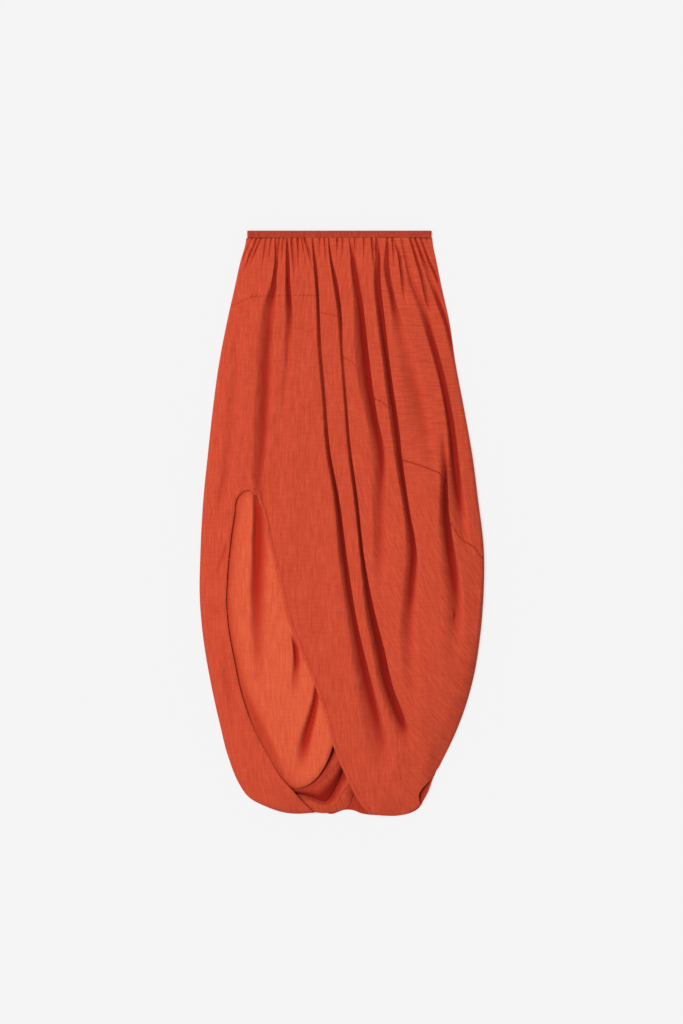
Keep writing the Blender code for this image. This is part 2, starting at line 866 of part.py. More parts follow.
def build_yoke(lower_points, lower_normals, band_line):
    """The yoke: a finely gathered band under the waist, then the smoother draped part."""
    rows = []
    keys = None
    for share in BAND_SHARES:
        down = band_line[0] + share * (GATHER_BAND_END - band_line[0])
        main = spread([station_place(s, down) for s in STATIONS])
        entries = [(place, ("main", i)) for i, place in enumerate(main)]
        for g, fold in enumerate(GATHER_FOLDS):
            centre = float(read(fold, "across", down))
            width = float(read(fold, "left", down))
            entries += [(centre + side * width, ("gather", g, side)) for side in (-1, 0, 1)]
        if keys is None:
            entries.sort()
            keys = [key for _, key in entries]
        places = dict((key, place) for place, key in entries)
        rows.append((down, places, main))
    keys = thin_keys(keys, rows)
    plan = []
    for down, places, main in rows:
        line = [places[key] for key in keys]
        plan.append([(place, down) for place in keep_order(line, keys, main)])
    plan = np.array(plan)
    band_points = raise_points(plan, front_height(plan[..., 0], plan[..., 1]))
    band_normals = grid_normals(band_points)
    main_columns = [i for i, key in enumerate(keys) if key[0] == "main"]
    band_points[-1, main_columns] = lower_points[0]
    band_normals[-1, main_columns] = lower_normals[0]

    outer = [band_points.reshape(-1, 3), lower_points[1:].reshape(-1, 3)]
    inner = [
        inner_face(band_points, band_normals).reshape(-1, 3),
        inner_face(lower_points, lower_normals)[1:].reshape(-1, 3),
    ]
    band_index = np.arange(band_points.shape[0] * band_points.shape[1]).reshape(band_points.shape[:2])
    start = band_index.size
    lower_rows = lower_points.shape[0] - 1
    lower_index = start + np.arange(lower_rows * len(STATIONS)).reshape(lower_rows, len(STATIONS))
    faces = quads(band_index.tolist()) + quads(lower_index.tolist())
    last = band_index[-1]
    for i in range(len(STATIONS) - 1):
        first, final = main_columns[i], main_columns[i + 1]
        upper = [int(last[k]) for k in range(first, final + 1)]
        below = [int(lower_index[0, i]), int(lower_index[0, i + 1])]
        faces.append(tuple(upper[:1] + below + upper[:0:-1]))
    wall("front_yoke", np.vstack(outer), np.vstack(inner), faces, "terracotta_crepe")


def thin_keys(keys, rows):
    """Leave out gather columns that would lie on a fold's own columns."""
    kept = []
    for key in keys:
        if key[0] == "gather":
            crowded = any(
                abs(places[key] - place) < COLUMN_GAP
                for _, places, main in rows[:2]
                for place in main
            )
            outside = any(not main[1] + 1 < places[key] < main[-2] - 1 for _, places, main in rows[:3])
            if crowded or outside:
                continue
        kept.append(key)
    return kept


def keep_order(line, keys, main):
    """Hold the gather columns between the fold columns that they started between."""
    line = list(line)
    fixed = [i for i, key in enumerate(keys) if key[0] == "main"]
    for first, final in zip(fixed, fixed[1:]):
        between = final - first - 1
        if between == 0:
            continue
        low, high = main[keys[first][1]], main[keys[final][1]]
        least = min(COLUMN_GAP, 0.8 * (high - low) / (between + 1))
        for n in range(1, between + 1):
            before = low if n == 1 else line[first + n - 1]
            line[first + n] = max(line[first + n], before + least)
        for n in range(between, 0, -1):
            after = high if n == between else line[first + n + 1]
            line[first + n] = min(line[first + n], after - least)
    for i in fixed:
        line[i] = main[keys[i][1]]
    return line


def strip_shares(width):
    """Columns across the strip left of the slit: the same steps as the cloth above it."""
    room = min(1, RIM_SHARE * width / RIM_STEPS[-1])
    return [step * room / width for step in RIM_STEPS] + [*STRIP_SHARES, 1]


def build_lower_front(upper_points, upper_normals, middle):
    """The lower front: whole above the slit, a strip left of it and the balloon right of it."""
    ends = [hem_down(s) for s in STATIONS[SLIT_COLUMN:]]
    right_plan = front_grid(STATIONS[SLIT_COLUMN:], middle[SLIT_COLUMN:], ends, LOWER_SHARES)
    right = raise_points(right_plan, front_height(right_plan[..., 0], right_plan[..., 1]))
    left_plan = loft(STRIP_OUTER, SLIT_LEFT, strip_shares, LOWER_SHARES)
    left = raise_points(left_plan, front_height(left_plan[..., 0], left_plan[..., 1]))
    left[0] = upper_points[-1, : SLIT_COLUMN + 1]
    right[0] = upper_points[-1, SLIT_COLUMN:]
    left_normals = grid_normals(left)
    right_normals = grid_normals(right)

    upper_inner = inner_face(upper_points, upper_normals)
    left_inner = inner_face(left, left_normals)
    right_inner = inner_face(right, right_normals)
    outer = np.vstack([grid.reshape(-1, 3) for grid in (upper_points, left[1:], right[1:])])
    inner = np.vstack([grid.reshape(-1, 3) for grid in (upper_inner, left_inner[1:], right_inner[1:])])

    columns = len(STATIONS)
    upper_index = np.arange(upper_points.shape[0] * columns).reshape(-1, columns)
    start = upper_index.size
    rows = len(LOWER_SHARES) - 1
    left_columns = SLIT_COLUMN + 1
    left_index = start + np.arange(rows * left_columns).reshape(rows, left_columns)
    start += left_index.size
    right_columns = columns - SLIT_COLUMN
    right_index = start + np.arange(rows * right_columns).reshape(rows, right_columns)
    left_index = np.vstack([upper_index[-1, : SLIT_COLUMN + 1], left_index])
    right_index = np.vstack([upper_index[-1, SLIT_COLUMN:], right_index])
    faces = quads(upper_index.tolist()) + quads(left_index.tolist()) + quads(right_index.tolist())
    wall("front_drape", outer, inner, faces, "terracotta_crepe")


def inner_drape():
    """The drape seen in the slit: it hangs just under the front and ends in a free curve."""
    down_shares = np.linspace(0, 1, DRAPE_ROWS)
    across_shares = np.array(DRAPE_COLUMNS)
    left = by_length(DRAPE_LEFT, down_shares)
    right = by_length(DRAPE_RIGHT, down_shares)
    edge = by_length(DRAPE_EDGE, across_shares)
    plan = []
    for i, share in enumerate(down_shares):
        straight = [left[i] + s * (right[i] - left[i]) for s in across_shares]
        chord = [left[-1] + s * (right[-1] - left[-1]) for s in across_shares]
        bulge = edge - np.array(chord)
        plan.append(np.array(straight) + bulge * share ** 2)
    plan = np.array(plan)
    across, down = plan[..., 0], plan[..., 1]
    drop = np.tile(glide(across_shares, DRAPE_DROP["share"], DRAPE_DROP["drop"]), (DRAPE_ROWS, 1))
    sewn = np.clip(1 - np.arange(DRAPE_ROWS) / DRAPE_TOP_ROWS, 0, 1)[:, None]
    drop = drop + sewn * (np.minimum(drop, DRAPE_TOP_DROP) - drop)
    folds = sum(valley(fold, across, down) for fold in DRAPE_FOLDS)
    heights = front_height(across, down) - drop - folds
    heights = np.maximum(heights, FRONT_RIM + CLOTH + DRAPE_CLEAR)
    points = raise_points(plan, heights)
    inner = inner_face(points, grid_normals(points))
    index = np.arange(points.shape[0] * points.shape[1]).reshape(points.shape[:2])
    wall(
        "inner_drape",
        points.reshape(-1, 3),
        inner.reshape(-1, 3),
        quads(index.tolist()),
        "terracotta_lining_side",
    )


def hem_strip(name, rows, crest):
    """A rolled strip along the hem: low at both edges, a crest along its middle."""
    shares = np.linspace(0, 1, HEM_ROWS)
    knots = np.linspace(0, 1, len(rows["upper_across"]))
    upper = np.column_stack([glide(shares, knots, rows[c]) for c in ("upper_across", "upper_down")])
    lower = np.column_stack([glide(shares, knots, rows[c]) for c in ("lower_across", "lower_down")])
    across_shares = np.array(HEM_COLUMNS)
    plan = np.array([[a + s * (b - a) for s in across_shares] for a, b in zip(upper, lower)])
    roll = np.sqrt(1 - (2 * across_shares - 1) ** 2)
    low = FRONT_RIM + CLOTH
    heights = np.broadcast_to(low + (crest - CLOTH) * roll, plan.shape[:2])
    points = raise_points(plan, heights)
    inner = inner_face(points, grid_normals(points))
    index = np.arange(points.shape[0] * points.shape[1]).reshape(points.shape[:2])
    wall(name, points.reshape(-1, 3), inner.reshape(-1, 3), quads(index.tolist()), "terracotta_crepe")


def back_panel():
    """The back: a flat sheet of the skirt's own outline that rests on the surface."""
    top = BAND_DEPTH + GAP
    downs = [top] + [float(d) for d in SIDES["down"] if top < d < SIDE_END]
    left = [(float(read(SIDES, "left", d)), d) for d in downs]
    right = [(float(read(SIDES, "right", d)), d) for d in reversed(downs)]
    hem = [(a, d) for a, d in zip(HEMLINE["across"], HEMLINE["down"]) if d > downs[-1] + 1]
    outline = left + hem + right
    shape = bmesh.new()
    corners = [shape.verts.new((a * TO_METRES, (WAIST_Y - d) * TO_METRES, 0)) for a, d in outline]
    sheet = shape.faces.new(corners)
    bmesh.ops.triangulate(shape, faces=[sheet])
    mesh = bpy.data.meshes.new("back_panel")
    shape.to_mesh(mesh)
    shape.free()
    piece = finish("back_panel", mesh, "terracotta_crepe")
    if mesh.polygons[0].normal.z < 0:
        mesh.flip_normals()
    thicken = piece.modifiers.new("cloth thickness", "SOLIDIFY")
    thicken.thickness = CLOTH * TO_METRES
    thicken.offset = 1
    return piece


def waistband():
    """The elastic band: a flattened ring with its ribs round it, open along the waist."""
    left = float(SIDES["left"][0])
    right = float(SIDES["right"][0])
    radius = 0.5 * BAND_THICKNESS
    straight = np.linspace(right - radius, left + radius, 17)
    turn = np.radians(np.linspace(0, 180, 7))[1:-1]
    top = [(x, radius) for x in straight]
    left_end = [(left + radius - radius * np.sin(a), radius * np.cos(a)) for a in turn]
    bottom = [(x, -radius) for x in straight[::-1]]
    right_end = [(right - radius + radius * np.sin(a), -radius * np.cos(a)) for a in turn]
    loop = np.array(top + left_end + bottom + right_end)
    downs = np.linspace(0, BAND_DEPTH, 4 * BAND_RIBS + 1)
    outer_rows, inner_rows = [], []
    for down in downs:
        rib = BAND_RIB * (0.5 - 0.5 * np.cos(2 * np.pi * BAND_RIBS * down / BAND_DEPTH))
        outer_rows.append(ring_row(loop, down, BAND_RIB - rib, radius))
        inner_rows.append(ring_row(loop, down, BAND_WALL, radius))
    points = np.array(outer_rows)
    inner = np.array(inner_rows)
    index = np.arange(points.shape[0] * points.shape[1]).reshape(points.shape[:2])
    index = np.hstack([index, index[:, :1]])
    faces = quads(index.tolist())
    wall("waistband", points.reshape(-1, 3), inner.reshape(-1, 3), faces, "terracotta_elastic")


def ring_row(loop, down, inset, radius):
    """One row round the band, set in from its largest outline by a given amount."""
    share = (radius - inset) / radius
    half = 0.5 * (loop[:, 0].max() - loop[:, 0].min())
    centre = 0.5 * (loop[:, 0].max() + loop[:, 0].min())
    across = centre + (loop[:, 0] - centre) * (half - inset) / half
    heights = radius + loop[:, 1] * share
    # The underside stays flat on the surface: only the upper half carries the ribs
    if inset < BAND_WALL:
        heights = np.where(loop[:, 1] < 0, radius + loop[:, 1], heights)
    return [(x, WAIST_Y - down, z) for x, z in zip(across, heights)]


def clear_scene():
    """Start from an empty scene."""
    for item in list(bpy.data.objects):
        bpy.data.objects.remove(item, do_unlink=True)


clear_scene()
SKIRT = bpy.data.collections.new("balloon_skirt")
bpy.context.scene.collection.children.link(SKIRT)
waistband()
front()
inner_drape()
hem_strip("hem_band", HEM_BAND, HEM_BAND_CREST)
hem_strip("hem_twist", HEM_TWIST, HEM_TWIST_CREST)
back_panel()
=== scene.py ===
# %% [markdown]
# # A balloon skirt, laid flat
# The skirt lies on its back, as a buyer would see it on a table. The frame that is loaded here
# holds its plain solids: waistband, yoke, lower front, inner drape, hem and back. Each is
# replaced by cloth of the same form with finer folds. Across is X, down is the distance from the
# top of the waistband towards the hem, both in millimetres, and a mesh is turned into metres when
# it is made.

import bpy
import mathutils
import numpy as np
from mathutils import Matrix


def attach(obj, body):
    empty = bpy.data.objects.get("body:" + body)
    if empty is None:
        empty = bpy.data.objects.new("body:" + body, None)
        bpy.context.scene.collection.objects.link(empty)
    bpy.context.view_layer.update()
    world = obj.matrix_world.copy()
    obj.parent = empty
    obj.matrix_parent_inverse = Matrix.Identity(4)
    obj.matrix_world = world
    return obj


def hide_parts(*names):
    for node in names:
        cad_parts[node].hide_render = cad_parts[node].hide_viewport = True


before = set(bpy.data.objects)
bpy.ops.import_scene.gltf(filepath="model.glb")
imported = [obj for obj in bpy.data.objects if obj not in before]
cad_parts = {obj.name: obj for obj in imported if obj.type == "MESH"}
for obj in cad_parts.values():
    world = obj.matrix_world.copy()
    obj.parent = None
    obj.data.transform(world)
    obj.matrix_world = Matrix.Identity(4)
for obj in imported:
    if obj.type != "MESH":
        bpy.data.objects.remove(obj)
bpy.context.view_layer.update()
TO_METRES = 0.001
WAIST_Y = 476.3
BAND_DEPTH = 11.5
CLOTH = 0.9
FRONT_RIM = 1.5
EDGE_ROLL = 110.0
HEM_ROLL = 70.0
LEAST_SHARE = 0.3
print("nodes in the frame:", sorted(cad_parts))

# %% [markdown]
# A fold is easiest to place as a short table: where its valley runs, how wide its slope
# is on each side, and how deep it is. These two helpers read such a table as a smooth curve, so
# that a few rows are enough for a long fold.

# %% Reading a short table as a smooth curve
def table(columns, *rows):
    """A short table: a dictionary with one array for each named column."""
    names = columns.split()
    return {name: np.array([row[i] for row in rows], float) for i, name in enumerate(names)}


def line(*rows):
    """A table of the places that a line runs through."""
    return table("across down", *rows)


def glide(at, knots, values):
    """Read a smooth curve through the knots; it stays level beyond both ends."""
    at = np.clip(np.asarray(at, float), knots[0], knots[-1])
    slopes = np.gradient(values, knots)
    left = np.clip(np.searchsorted(knots, at, side="right") - 1, 0, len(knots) - 2)
    step = knots[left + 1] - knots[left]
    t = (at - knots[left]) / step
    start = values[left] * (1 + 2 * t) * (1 - t) ** 2 + slopes[left] * step * t * (1 - t) ** 2
    end = values[left + 1] * t * t * (3 - 2 * t) - slopes[left + 1] * step * t * t * (1 - t)
    return start + end


def read(rows, column, down):
    """One column of a table at a distance down."""
    return glide(down, rows["down"], rows[column])


# %% [markdown]
# The silhouette and the height of the filled front come first. A flat-laid skirt of springy crepe
# is a low pillow: steep at its rim, level inside, fullest in the balloon.

# %% Silhouette and fullness
# The silhouette: its two sides at each distance down, and its lower edge
SIDES = table(
    "down left right",
    (0, -155, 146), (23, -158, 148), (47, -165, 153), (96, -176, 163), (145, -187, 174),
    (218, -201, 185), (292, -211, 199), (365, -219, 212), (434, -226, 221), (523, -231, 231),
    (600, -232, 230), (659, -227, 225), (732, -215, 213), (805, -199, 190), (859, -185, 165),
    (890, -172, 148), (911, -160, 141), (927, -146, 133), (941, -115, 124), (949, -85, 108),
)

HEMLINE = line(
    (-232, 601), (-227, 659), (-215, 732), (-199, 805), (-185, 859), (-168, 901), (-154, 921),
    (-124, 938), (-85, 949), (-48, 948), (-33, 946), (-20, 950), (6, 943), (18, 944), (31, 949),
    (57, 952), (96, 952), (112, 948), (124, 941), (133, 927), (141, 911), (148, 890),
    (165, 859), (190, 805), (213, 732), (225, 659), (231, 560),
)

# How high the filled front stands over its rim, down the skirt
LEVEL = table(
    "down height",
    (0, 5.6), (40, 9), (90, 13), (200, 19), (420, 27), (600, 33), (740, 32), (850, 26),
    (900, 22), (952, 16),
)
print("silhouette rows:", len(SIDES["down"]), "hem points:", len(HEMLINE["down"]))

# %% [markdown]
# The long folds of the front lean from the waist to the lower right, where the balloon is drawn
# in. They are laps: the left slope is soft, and the right side is a crisp edge that hangs over
# the valley.

# %% The long folds
# The valley's place, the width of its slope on each side, and its depth
FOLD_COLUMNS = "across down left right depth"
FADED = (9, 9, 0)


def fold_set(*folds):
    """A table for each fold. A row with only a place is where the fold has faded out."""
    return [table(FOLD_COLUMNS, *(row + FADED[len(row) - 2:] for row in rows)) for rows in folds]


# The long folds of the front, left to right. Each line runs from the waistband to the hem
FOLDS = fold_set(
    (
        (-107, 13, 3.3, 2, 2.5), (-105, 51, 5.5, 2.4, 7.5), (-108, 88, 9, 2.9, 8),
        (-116, 121, 15, 11.4, 6.5), (-121, 178, 17.9, 14.7, 6.5), (-126, 275, 17.9, 16.3, 6.5),
        (-130, 357, 17.9, 14.7, 6), (-133, 410, 14.7, 13, 5), (-127, 440, 11.4, 11.4, 3),
        (-110, 496, 9.8, 9.8, 0), (-82, 601), (-54, 691), (-25, 760), (-2, 830), (22, 892),
        (48, 950),
    ),
    (
        (-88, 13, 3.3, 2, 2), (-86, 41, 6, 2, 7.5), (-84, 88, 8.5, 2, 9.5),
        (-84, 137, 10, 4.9, 6.5), (-88, 227, 9.8, 8.1, 2.4), (-98, 357, 9.8, 8.1, 0),
        (-95, 438), (-82, 536), (-62, 634), (-33, 719), (-7, 784), (13, 846), (36, 903),
        (55, 952),
    ),
    (
        (-47, 13, 3.3, 1.6, 2.4), (-40, 64, 6.5, 1.6, 8.5), (-37, 108, 6, 1.6, 7.5),
        (-34, 178, 7, 1.6, 6.5), (-26, 275, 7, 1.6, 6.5), (-19, 357, 8, 1.6, 8),
        (-4, 438, 10, 1.6, 10.5), (9, 536, 14.7, 1.6, 10.5), (24, 634, 16.3, 2.1, 9.5),
        (44, 732, 24.4, 4.9, 9), (62, 822, 30, 14.7, 6), (73, 911, 26.1, 19.6, 0), (75, 952),
    ),
    (
        (-21, 13, 2.4, 1.6, 2.4), (-16, 47, 4.5, 1.6, 7), (-8, 80, 8, 1.6, 9),
        (0, 139, 8, 1.6, 7), (2, 194, 6, 1.6, 5), (8, 275, 6, 1.6, 5.5),
        (15, 357, 6.5, 1.6, 6.5), (26, 438, 7.5, 1.6, 8), (37, 536, 8, 1.6, 9),
        (53, 618, 16.3, 1.6, 11.5), (69, 683, 21.2, 2, 12), (82, 748, 22.8, 4.1, 11),
        (97, 794, 22.8, 8.1, 8.5), (108, 843, 19.6, 13, 0), (105, 887), (96, 952),
    ),
    (
        (12, 13, 2, 5, 1.5), (17, 40, 4.5, 6, 6), (21, 65, 8, 6, 8), (27, 96, 11.5, 4.5, 8.5),
        (34, 126, 16, 2.5, 8.5), (41, 181, 22.8, 2, 8.5), (49, 251, 22.8, 2, 8.5),
        (58, 308, 19.6, 2, 8.5), (65, 365, 19.6, 6.5, 7), (62, 438, 16.3, 13, 5),
        (62, 520, 14.7, 14.7, 4), (67, 588, 13, 14.7, 0), (81, 650), (101, 724), (114, 789),
        (119, 843), (112, 890), (104, 950),
    ),
    (
        (58, 13, 5.5, 1.6, 2), (62, 39, 9.5, 1.6, 7.5), (63, 80, 12.5, 1.6, 10),
        (70, 148, 13.5, 1.6, 10), (81, 240, 13, 1.6, 9.5), (92, 316, 14.7, 1.6, 9.5),
        (100, 386, 13, 1.6, 9), (109, 450, 11.4, 1.6, 8.5), (119, 512, 16.3, 2.4, 8.5),
        (114, 569, 16.3, 9.8, 7.2), (108, 637, 16.3, 14.7, 5), (112, 724, 17.9, 16.3, 2.5),
        (120, 784, 16.3, 16.3, 0), (125, 838), (120, 890), (112, 948),
    ),
    (
        (88, 13, 3, 3, 0), (93, 51, 3, 3, 0), (106, 112, 4, 4, 0), (132, 194, 5, 5, 0),
        (153, 275, 5, 5, 0), (164, 330, 6, 6, 0), (167, 362, 9, 5, 4), (170, 403, 12, 3, 8),
        (173, 443, 16.3, 2, 10.5), (177, 504, 21.2, 4.1, 10), (183, 569, 22.8, 13, 7.5),
        (185, 621, 22.8, 16.3, 5), (179, 707, 16.3, 16.3, 0), (169, 764), (146, 838),
        (130, 890), (119, 945),
    ),
    (
        (97, 13, 2.4, 1.6, 1.2), (105, 47, 4.9, 4.9, 2.5), (115, 86, 8.1, 6.5, 3),
        (133, 129, 11.4, 8.1, 4), (146, 174, 10, 6.1, 7), (159, 220, 9, 4.9, 9.5),
        (169, 262, 9, 4.5, 10.5), (180, 324, 11, 4.9, 10), (186, 381, 14, 6.5, 8.5),
        (191, 440, 16.3, 10, 5.5), (197, 490, 16.3, 13, 2.5), (207, 540, 14, 13, 0), (215, 590),
        (211, 667), (197, 748), (166, 830), (138, 890), (124, 941),
    ),
)
print("long folds:", len(FOLDS))

# %% [markdown]
# The elastic draws the cloth into many short gathers. Each starts under the band and fades out
# within a hand's breadth, so one row for each is enough.

# %% Gathers and the smaller folds
# Gathers drawn in by the elastic: where each starts under the band and where it fades
GATHERS = table(
    "start_across start_depth end_across end_down width",
    (-152, 1, -164, 40, 2.2), (-146, 1.2, -166, 62, 2.4), (-138, 2.4, -160, 72, 3),
    (-131, 1.6, -150, 62, 2.6), (-123, 1.8, -130, 70, 2.8), (-115, 1.4, -119, 55, 2.4),
    (-101, 1.5, -102, 66, 2.6), (-95, 1.4, -96, 58, 2.4), (-81, 1.8, -74, 84, 3.2),
    (-72, 1.6, -69, 72, 2.8), (-66, 1.2, -57, 60, 2.4), (-61, 2.2, -46, 66, 3),
    (-36, 1.2, -34, 52, 2.2), (-29, 1.4, -24, 60, 2.4), (-8, 1.8, -7, 45, 2),
    (1, 1.2, 2, 50, 2.2), (21, 1.4, 24, 62, 2.8), (36, 1.3, 36, 55, 2.4),
    (48, 2.2, 53, 62, 2.8), (74, 2, 75, 66, 2.8), (82, 1.8, 86, 64, 2.4),
    (111, 2, 124, 64, 2.4), (119, 2.4, 136, 66, 2.6), (128, 2.2, 145, 62, 2.4),
    (137, 1.2, 149, 45, 2),
)

# Folds that need no columns of their own: a dip near each side, then the short ones
SMALL_FOLDS = fold_set(
    (
        (136, 66, 4.5, 4.5, 0), (148, 90, 4.9, 4.9, 3), (155, 112, 4.9, 8.1, 5),
        (168, 148, 4.9, 8.1, 5), (177, 183, 4.9, 6.5, 4), (187, 218, 4.9, 4.9, 0),
    ),
    (
        (-170, 129, 13, 13, 0), (-172, 235, 13, 13, 1.4), (-180, 324, 14.7, 14.7, 1.4),
        (-192, 417, 11.4, 11.4, 2), (-206, 487, 8.1, 8.1, 0),
    ),
    (
        (111, 13, 2.4, 2, 1.5), (122, 47, 3.3, 2.4, 4), (132, 83, 4.1, 3.3, 3.5),
        (140, 117, 6.5, 4.9, 2.5), (146, 145, 8.1, 6.5, 0),
    ),
    (
        (119, 13, 3.3, 2.4, 1.5), (133, 47, 4.1, 3.3, 3.6), (141, 68, 4.6, 4, 2.5),
        (148, 88, 4.9, 4.9, 0),
    ),
    (
        (128, 13, 2, 2, 1.2), (141, 47, 3, 2.4, 4.5), (150, 67, 4.1, 3.3, 7),
        (161, 96, 2, 2, 0.6), (166, 106, 2, 2, 0),
    ),
    (
        (74, 20, 3.3, 2.4, 2), (75, 64, 6.5, 3.3, 4), (83, 109, 8.1, 4.1, 4),
        (98, 174, 16.3, 11.4, 2.2), (120, 262, 28, 18, 2.6), (134, 325, 26, 17, 2.2),
        (146, 380, 18, 11, 1), (151, 415, 12, 8, 0),
    ),
    (
        (82, 13, 2, 1.6, 1.5), (92, 34, 3.3, 1.6, 3.2), (97, 64, 4.1, 2, 3.2),
        (104, 126, 4.9, 4.9, 0),
    ),
    (
        (-191, 663, 9.8, 9.8, 0), (-189, 707, 11.4, 9.8, 1.8), (-181, 760, 13, 13, 1.8),
        (-168, 800, 13, 13, 0),
    ),
    (
        (-185, 509, 3.3, 4.9, 1.2), (-196, 540, 4.1, 4.9, 1.6), (-209, 574, 4.9, 4.9, 0),
    ),
    (
        (182, 612, 3, 3, 0), (183, 625, 3.5, 2.5, 1.4), (181, 640, 3.5, 3, 0),
    ),
)
print("gathers:", len(GATHERS["width"]), "smaller folds:", len(SMALL_FOLDS))

# %% [markdown]
# The slit is a drop-shaped opening between a narrow strip on the left and the balloon on the
# right. Its edges, the yoke seam and the outlines of the pieces below it are drawn with the same
# kind of table.

# %% The slit and the hem of the lower front
# The line of the slit: a plain line of the weave above it, then its two edges
SLIT_LEAD = line(
    (-134, 13), (-140, 88), (-150, 130), (-154, 200), (-157, 300), (-156, 370), (-150, 423),
)
SLIT_RIGHT = line(
    (-150, 423), (-141, 424), (-138, 430), (-134, 445), (-129, 457), (-122, 490), (-110, 541),
    (-98, 587), (-90, 626), (-83, 645), (-66, 688), (-49, 727), (-38, 756), (-23, 805),
    (-15, 835), (-4, 864), (9, 893), (20, 916), (31, 934), (42, 947),
)
SLIT_LEFT = line(
    (-150, 423), (-157, 423.5), (-163, 427), (-170, 435), (-175, 463), (-181, 504), (-187, 572),
    (-188, 602), (-184, 650), (-175, 699), (-162, 758), (-142, 812), (-119, 855), (-98, 890),
    (-80, 910), (-64, 929), (-49, 944),
)
# The outer edge of the strip left of the slit, and the front's hem from the right side seam on
STRIP_OUTER = line(
    (-225, 423), (-229, 487), (-231, 523), (-232, 585), (-231, 615), (-227, 659), (-220, 707),
    (-211, 756), (-198, 813), (-185, 859), (-170, 897), (-154, 921), (-124, 938), (-85, 949),
    (-66, 949), (-47, 948),
)
FRONT_HEM_RIGHT = line(
    (165, 859), (148, 890), (139, 899), (130, 908), (125, 917), (126, 929), (129, 936),
)
print("slit rows:", len(SLIT_LEFT["down"]), len(SLIT_RIGHT["down"]))

# %% The yoke seam
# The seam's place on each fold line that it crosses; it steps down under each deep fold
SEAM = table(
    "line down",
    (0, 122), (0.5, 116), (1, 108), (2, 107), (4, 107), (4, 132), (5, 143), (5, 200),
    (5.5, 215), (5.75, 232), (6, 243), (6, 269), (6.5, 279), (7, 297), (7, 365), (7.5, 384),
    (7.75, 395), (8, 409), (8, 458), (8.32, 478), (8.63, 491), (9, 507), (9.5, 522), (10, 536),
)
print("seam points:", len(SEAM["down"]))

# %% The inner drape and the hem pieces
# The drape inside the slit, which ends in a hanging curve, and its soft folds
DRAPE_LEFT = line(
    (-190, 408), (-202, 471), (-209, 553), (-209, 610), (-202, 675), (-185, 756), (-164, 822),
    (-134, 868), (-101, 905),
)
DRAPE_RIGHT = line(
    (-118, 408), (-106, 471), (-93, 536), (-74, 618), (-51, 691), (-24, 740), (-8, 775),
    (2, 812),
)
DRAPE_EDGE = line(
    (-101, 905), (-85, 907), (-75, 908), (-64, 905), (-52, 899), (-41, 889), (-31, 875),
    (-22, 857), (-14, 836), (2, 812),
)
DRAPE_FOLDS = fold_set(
    (
        (-139, 415, 8, 22, 4), (-139, 471, 8, 26, 6.5), (-140, 536, 9, 28, 6.5),
        (-140, 601, 11, 24, 5.5), (-138, 667, 13, 20, 3.5), (-134, 748, 16, 20, 0),
    ),
    (
        (-81, 655, 3, 5, 0), (-77, 676, 4, 9, 7), (-75, 697, 5, 11, 7), (-75, 722, 8, 12, 3.5),
        (-77, 755, 10, 12, 0),
    ),
    (
        (-40, 735, 5, 5, 5), (-43, 761, 7, 8, 9), (-50, 794, 10, 10, 10),
        (-57, 820, 13, 13, 8.5), (-62, 845, 16, 16, 5), (-68, 880, 16, 16, 0),
    ),
    (
        (-172, 436, 8, 5, 1.2), (-176, 463, 8, 8, 1.8), (-180, 505, 9, 10, 1.8),
        (-184, 545, 9, 10, 1.6), (-187, 590, 8, 9, 1.4), (-184, 645, 8, 8, 1.4),
        (-173, 700, 8, 10, 2.2), (-158, 755, 9, 16, 3.6), (-136, 805, 10, 20, 4.2),
        (-112, 850, 9, 14, 3.5), (-90, 890, 7, 6, 2),
    ),
)
# How far the drape lies below the front's face: across it, and near its sewn top edge
DRAPE_DROP = table("share drop", (0, 2.4), (0.4, 3.0), (0.75, 2.8), (1, 2.2))
DRAPE_TOP_DROP = 2.0
DRAPE_TOP_SHARE = 0.125

# The turned-up hem seen under the drape: a folded band, and the strip twisted below it. Each has
# an upper edge, a crest and a lower edge, from its right end under the balloon to its left end
HEM_COLUMNS = (
    "upper_across upper_down upper_height crest_across crest_down crest_height"
    " lower_across lower_down lower_height"
)
HEM_BAND = table(
    HEM_COLUMNS,
    (2, 812, 10, 14, 842, 17.5, 16, 858, 4), (-16, 836, 10.5, -2, 858, 17.5, 2, 878, 3.5),
    (-29, 858, 11, -13, 870, 17, -5, 893, 3.5), (-42, 876, 11.5, -27, 884, 16, -12, 907, 3.5),
    (-55, 889, 11.5, -40, 897, 14.5, -20, 920, 3.5),
    (-68, 898, 10.5, -56, 905, 13, -30, 928, 4), (-78, 902, 9, -69, 909.5, 11.5, -54, 920, 5),
    (-87, 905, 8, -82, 912, 10, -76, 915, 6),
)
HEM_TWIST = table(
    HEM_COLUMNS,
    (18, 860, 3, 32, 877, 12, 44, 890, 2.4), (3.5, 880, 3, 14, 895, 12, 25, 907, 2.4),
    (-3.5, 893, 3, 6, 905, 11.5, 18, 918, 2.4), (-10.5, 907, 3, -3, 917, 10.5, 10, 937, 2.4),
    (-19, 920.5, 3, -12, 932, 9.5, -5, 945, 2.6), (-30, 929, 4, -31, 935, 9.5, -27, 948.5, 2.6),
    (-54, 921.5, 5, -53, 926, 9, -47, 947, 2.6), (-74, 916, 5.5, -72, 919, 8, -66, 944, 3),
)
print("drape folds:", len(DRAPE_FOLDS))

# %% [markdown]
# A fold sinks the surface by a soft bell with its own width on each side. All the folds together,
# taken from the pillow, give the height of the front at any place.

# %% Height of the front
RIM_ROLL = 7.0
ROLL_SHARE = 0.3
SLOPE_POWER = 2.2
# A lap with a crisp edge has a broad, dark floor: the narrower its wall, the flatter its bell
FLOOR_BREADTH = 0.4
FLOOR_WALL = 5
FLOOR_SPAN = 3


def pillow(distance, reach):
    """A rounded rise from an edge: 0 on the edge, 1 from reach inwards."""
    share = np.clip(distance / reach, 0, 1)
    return np.sqrt(1 - (1 - share) ** 2)


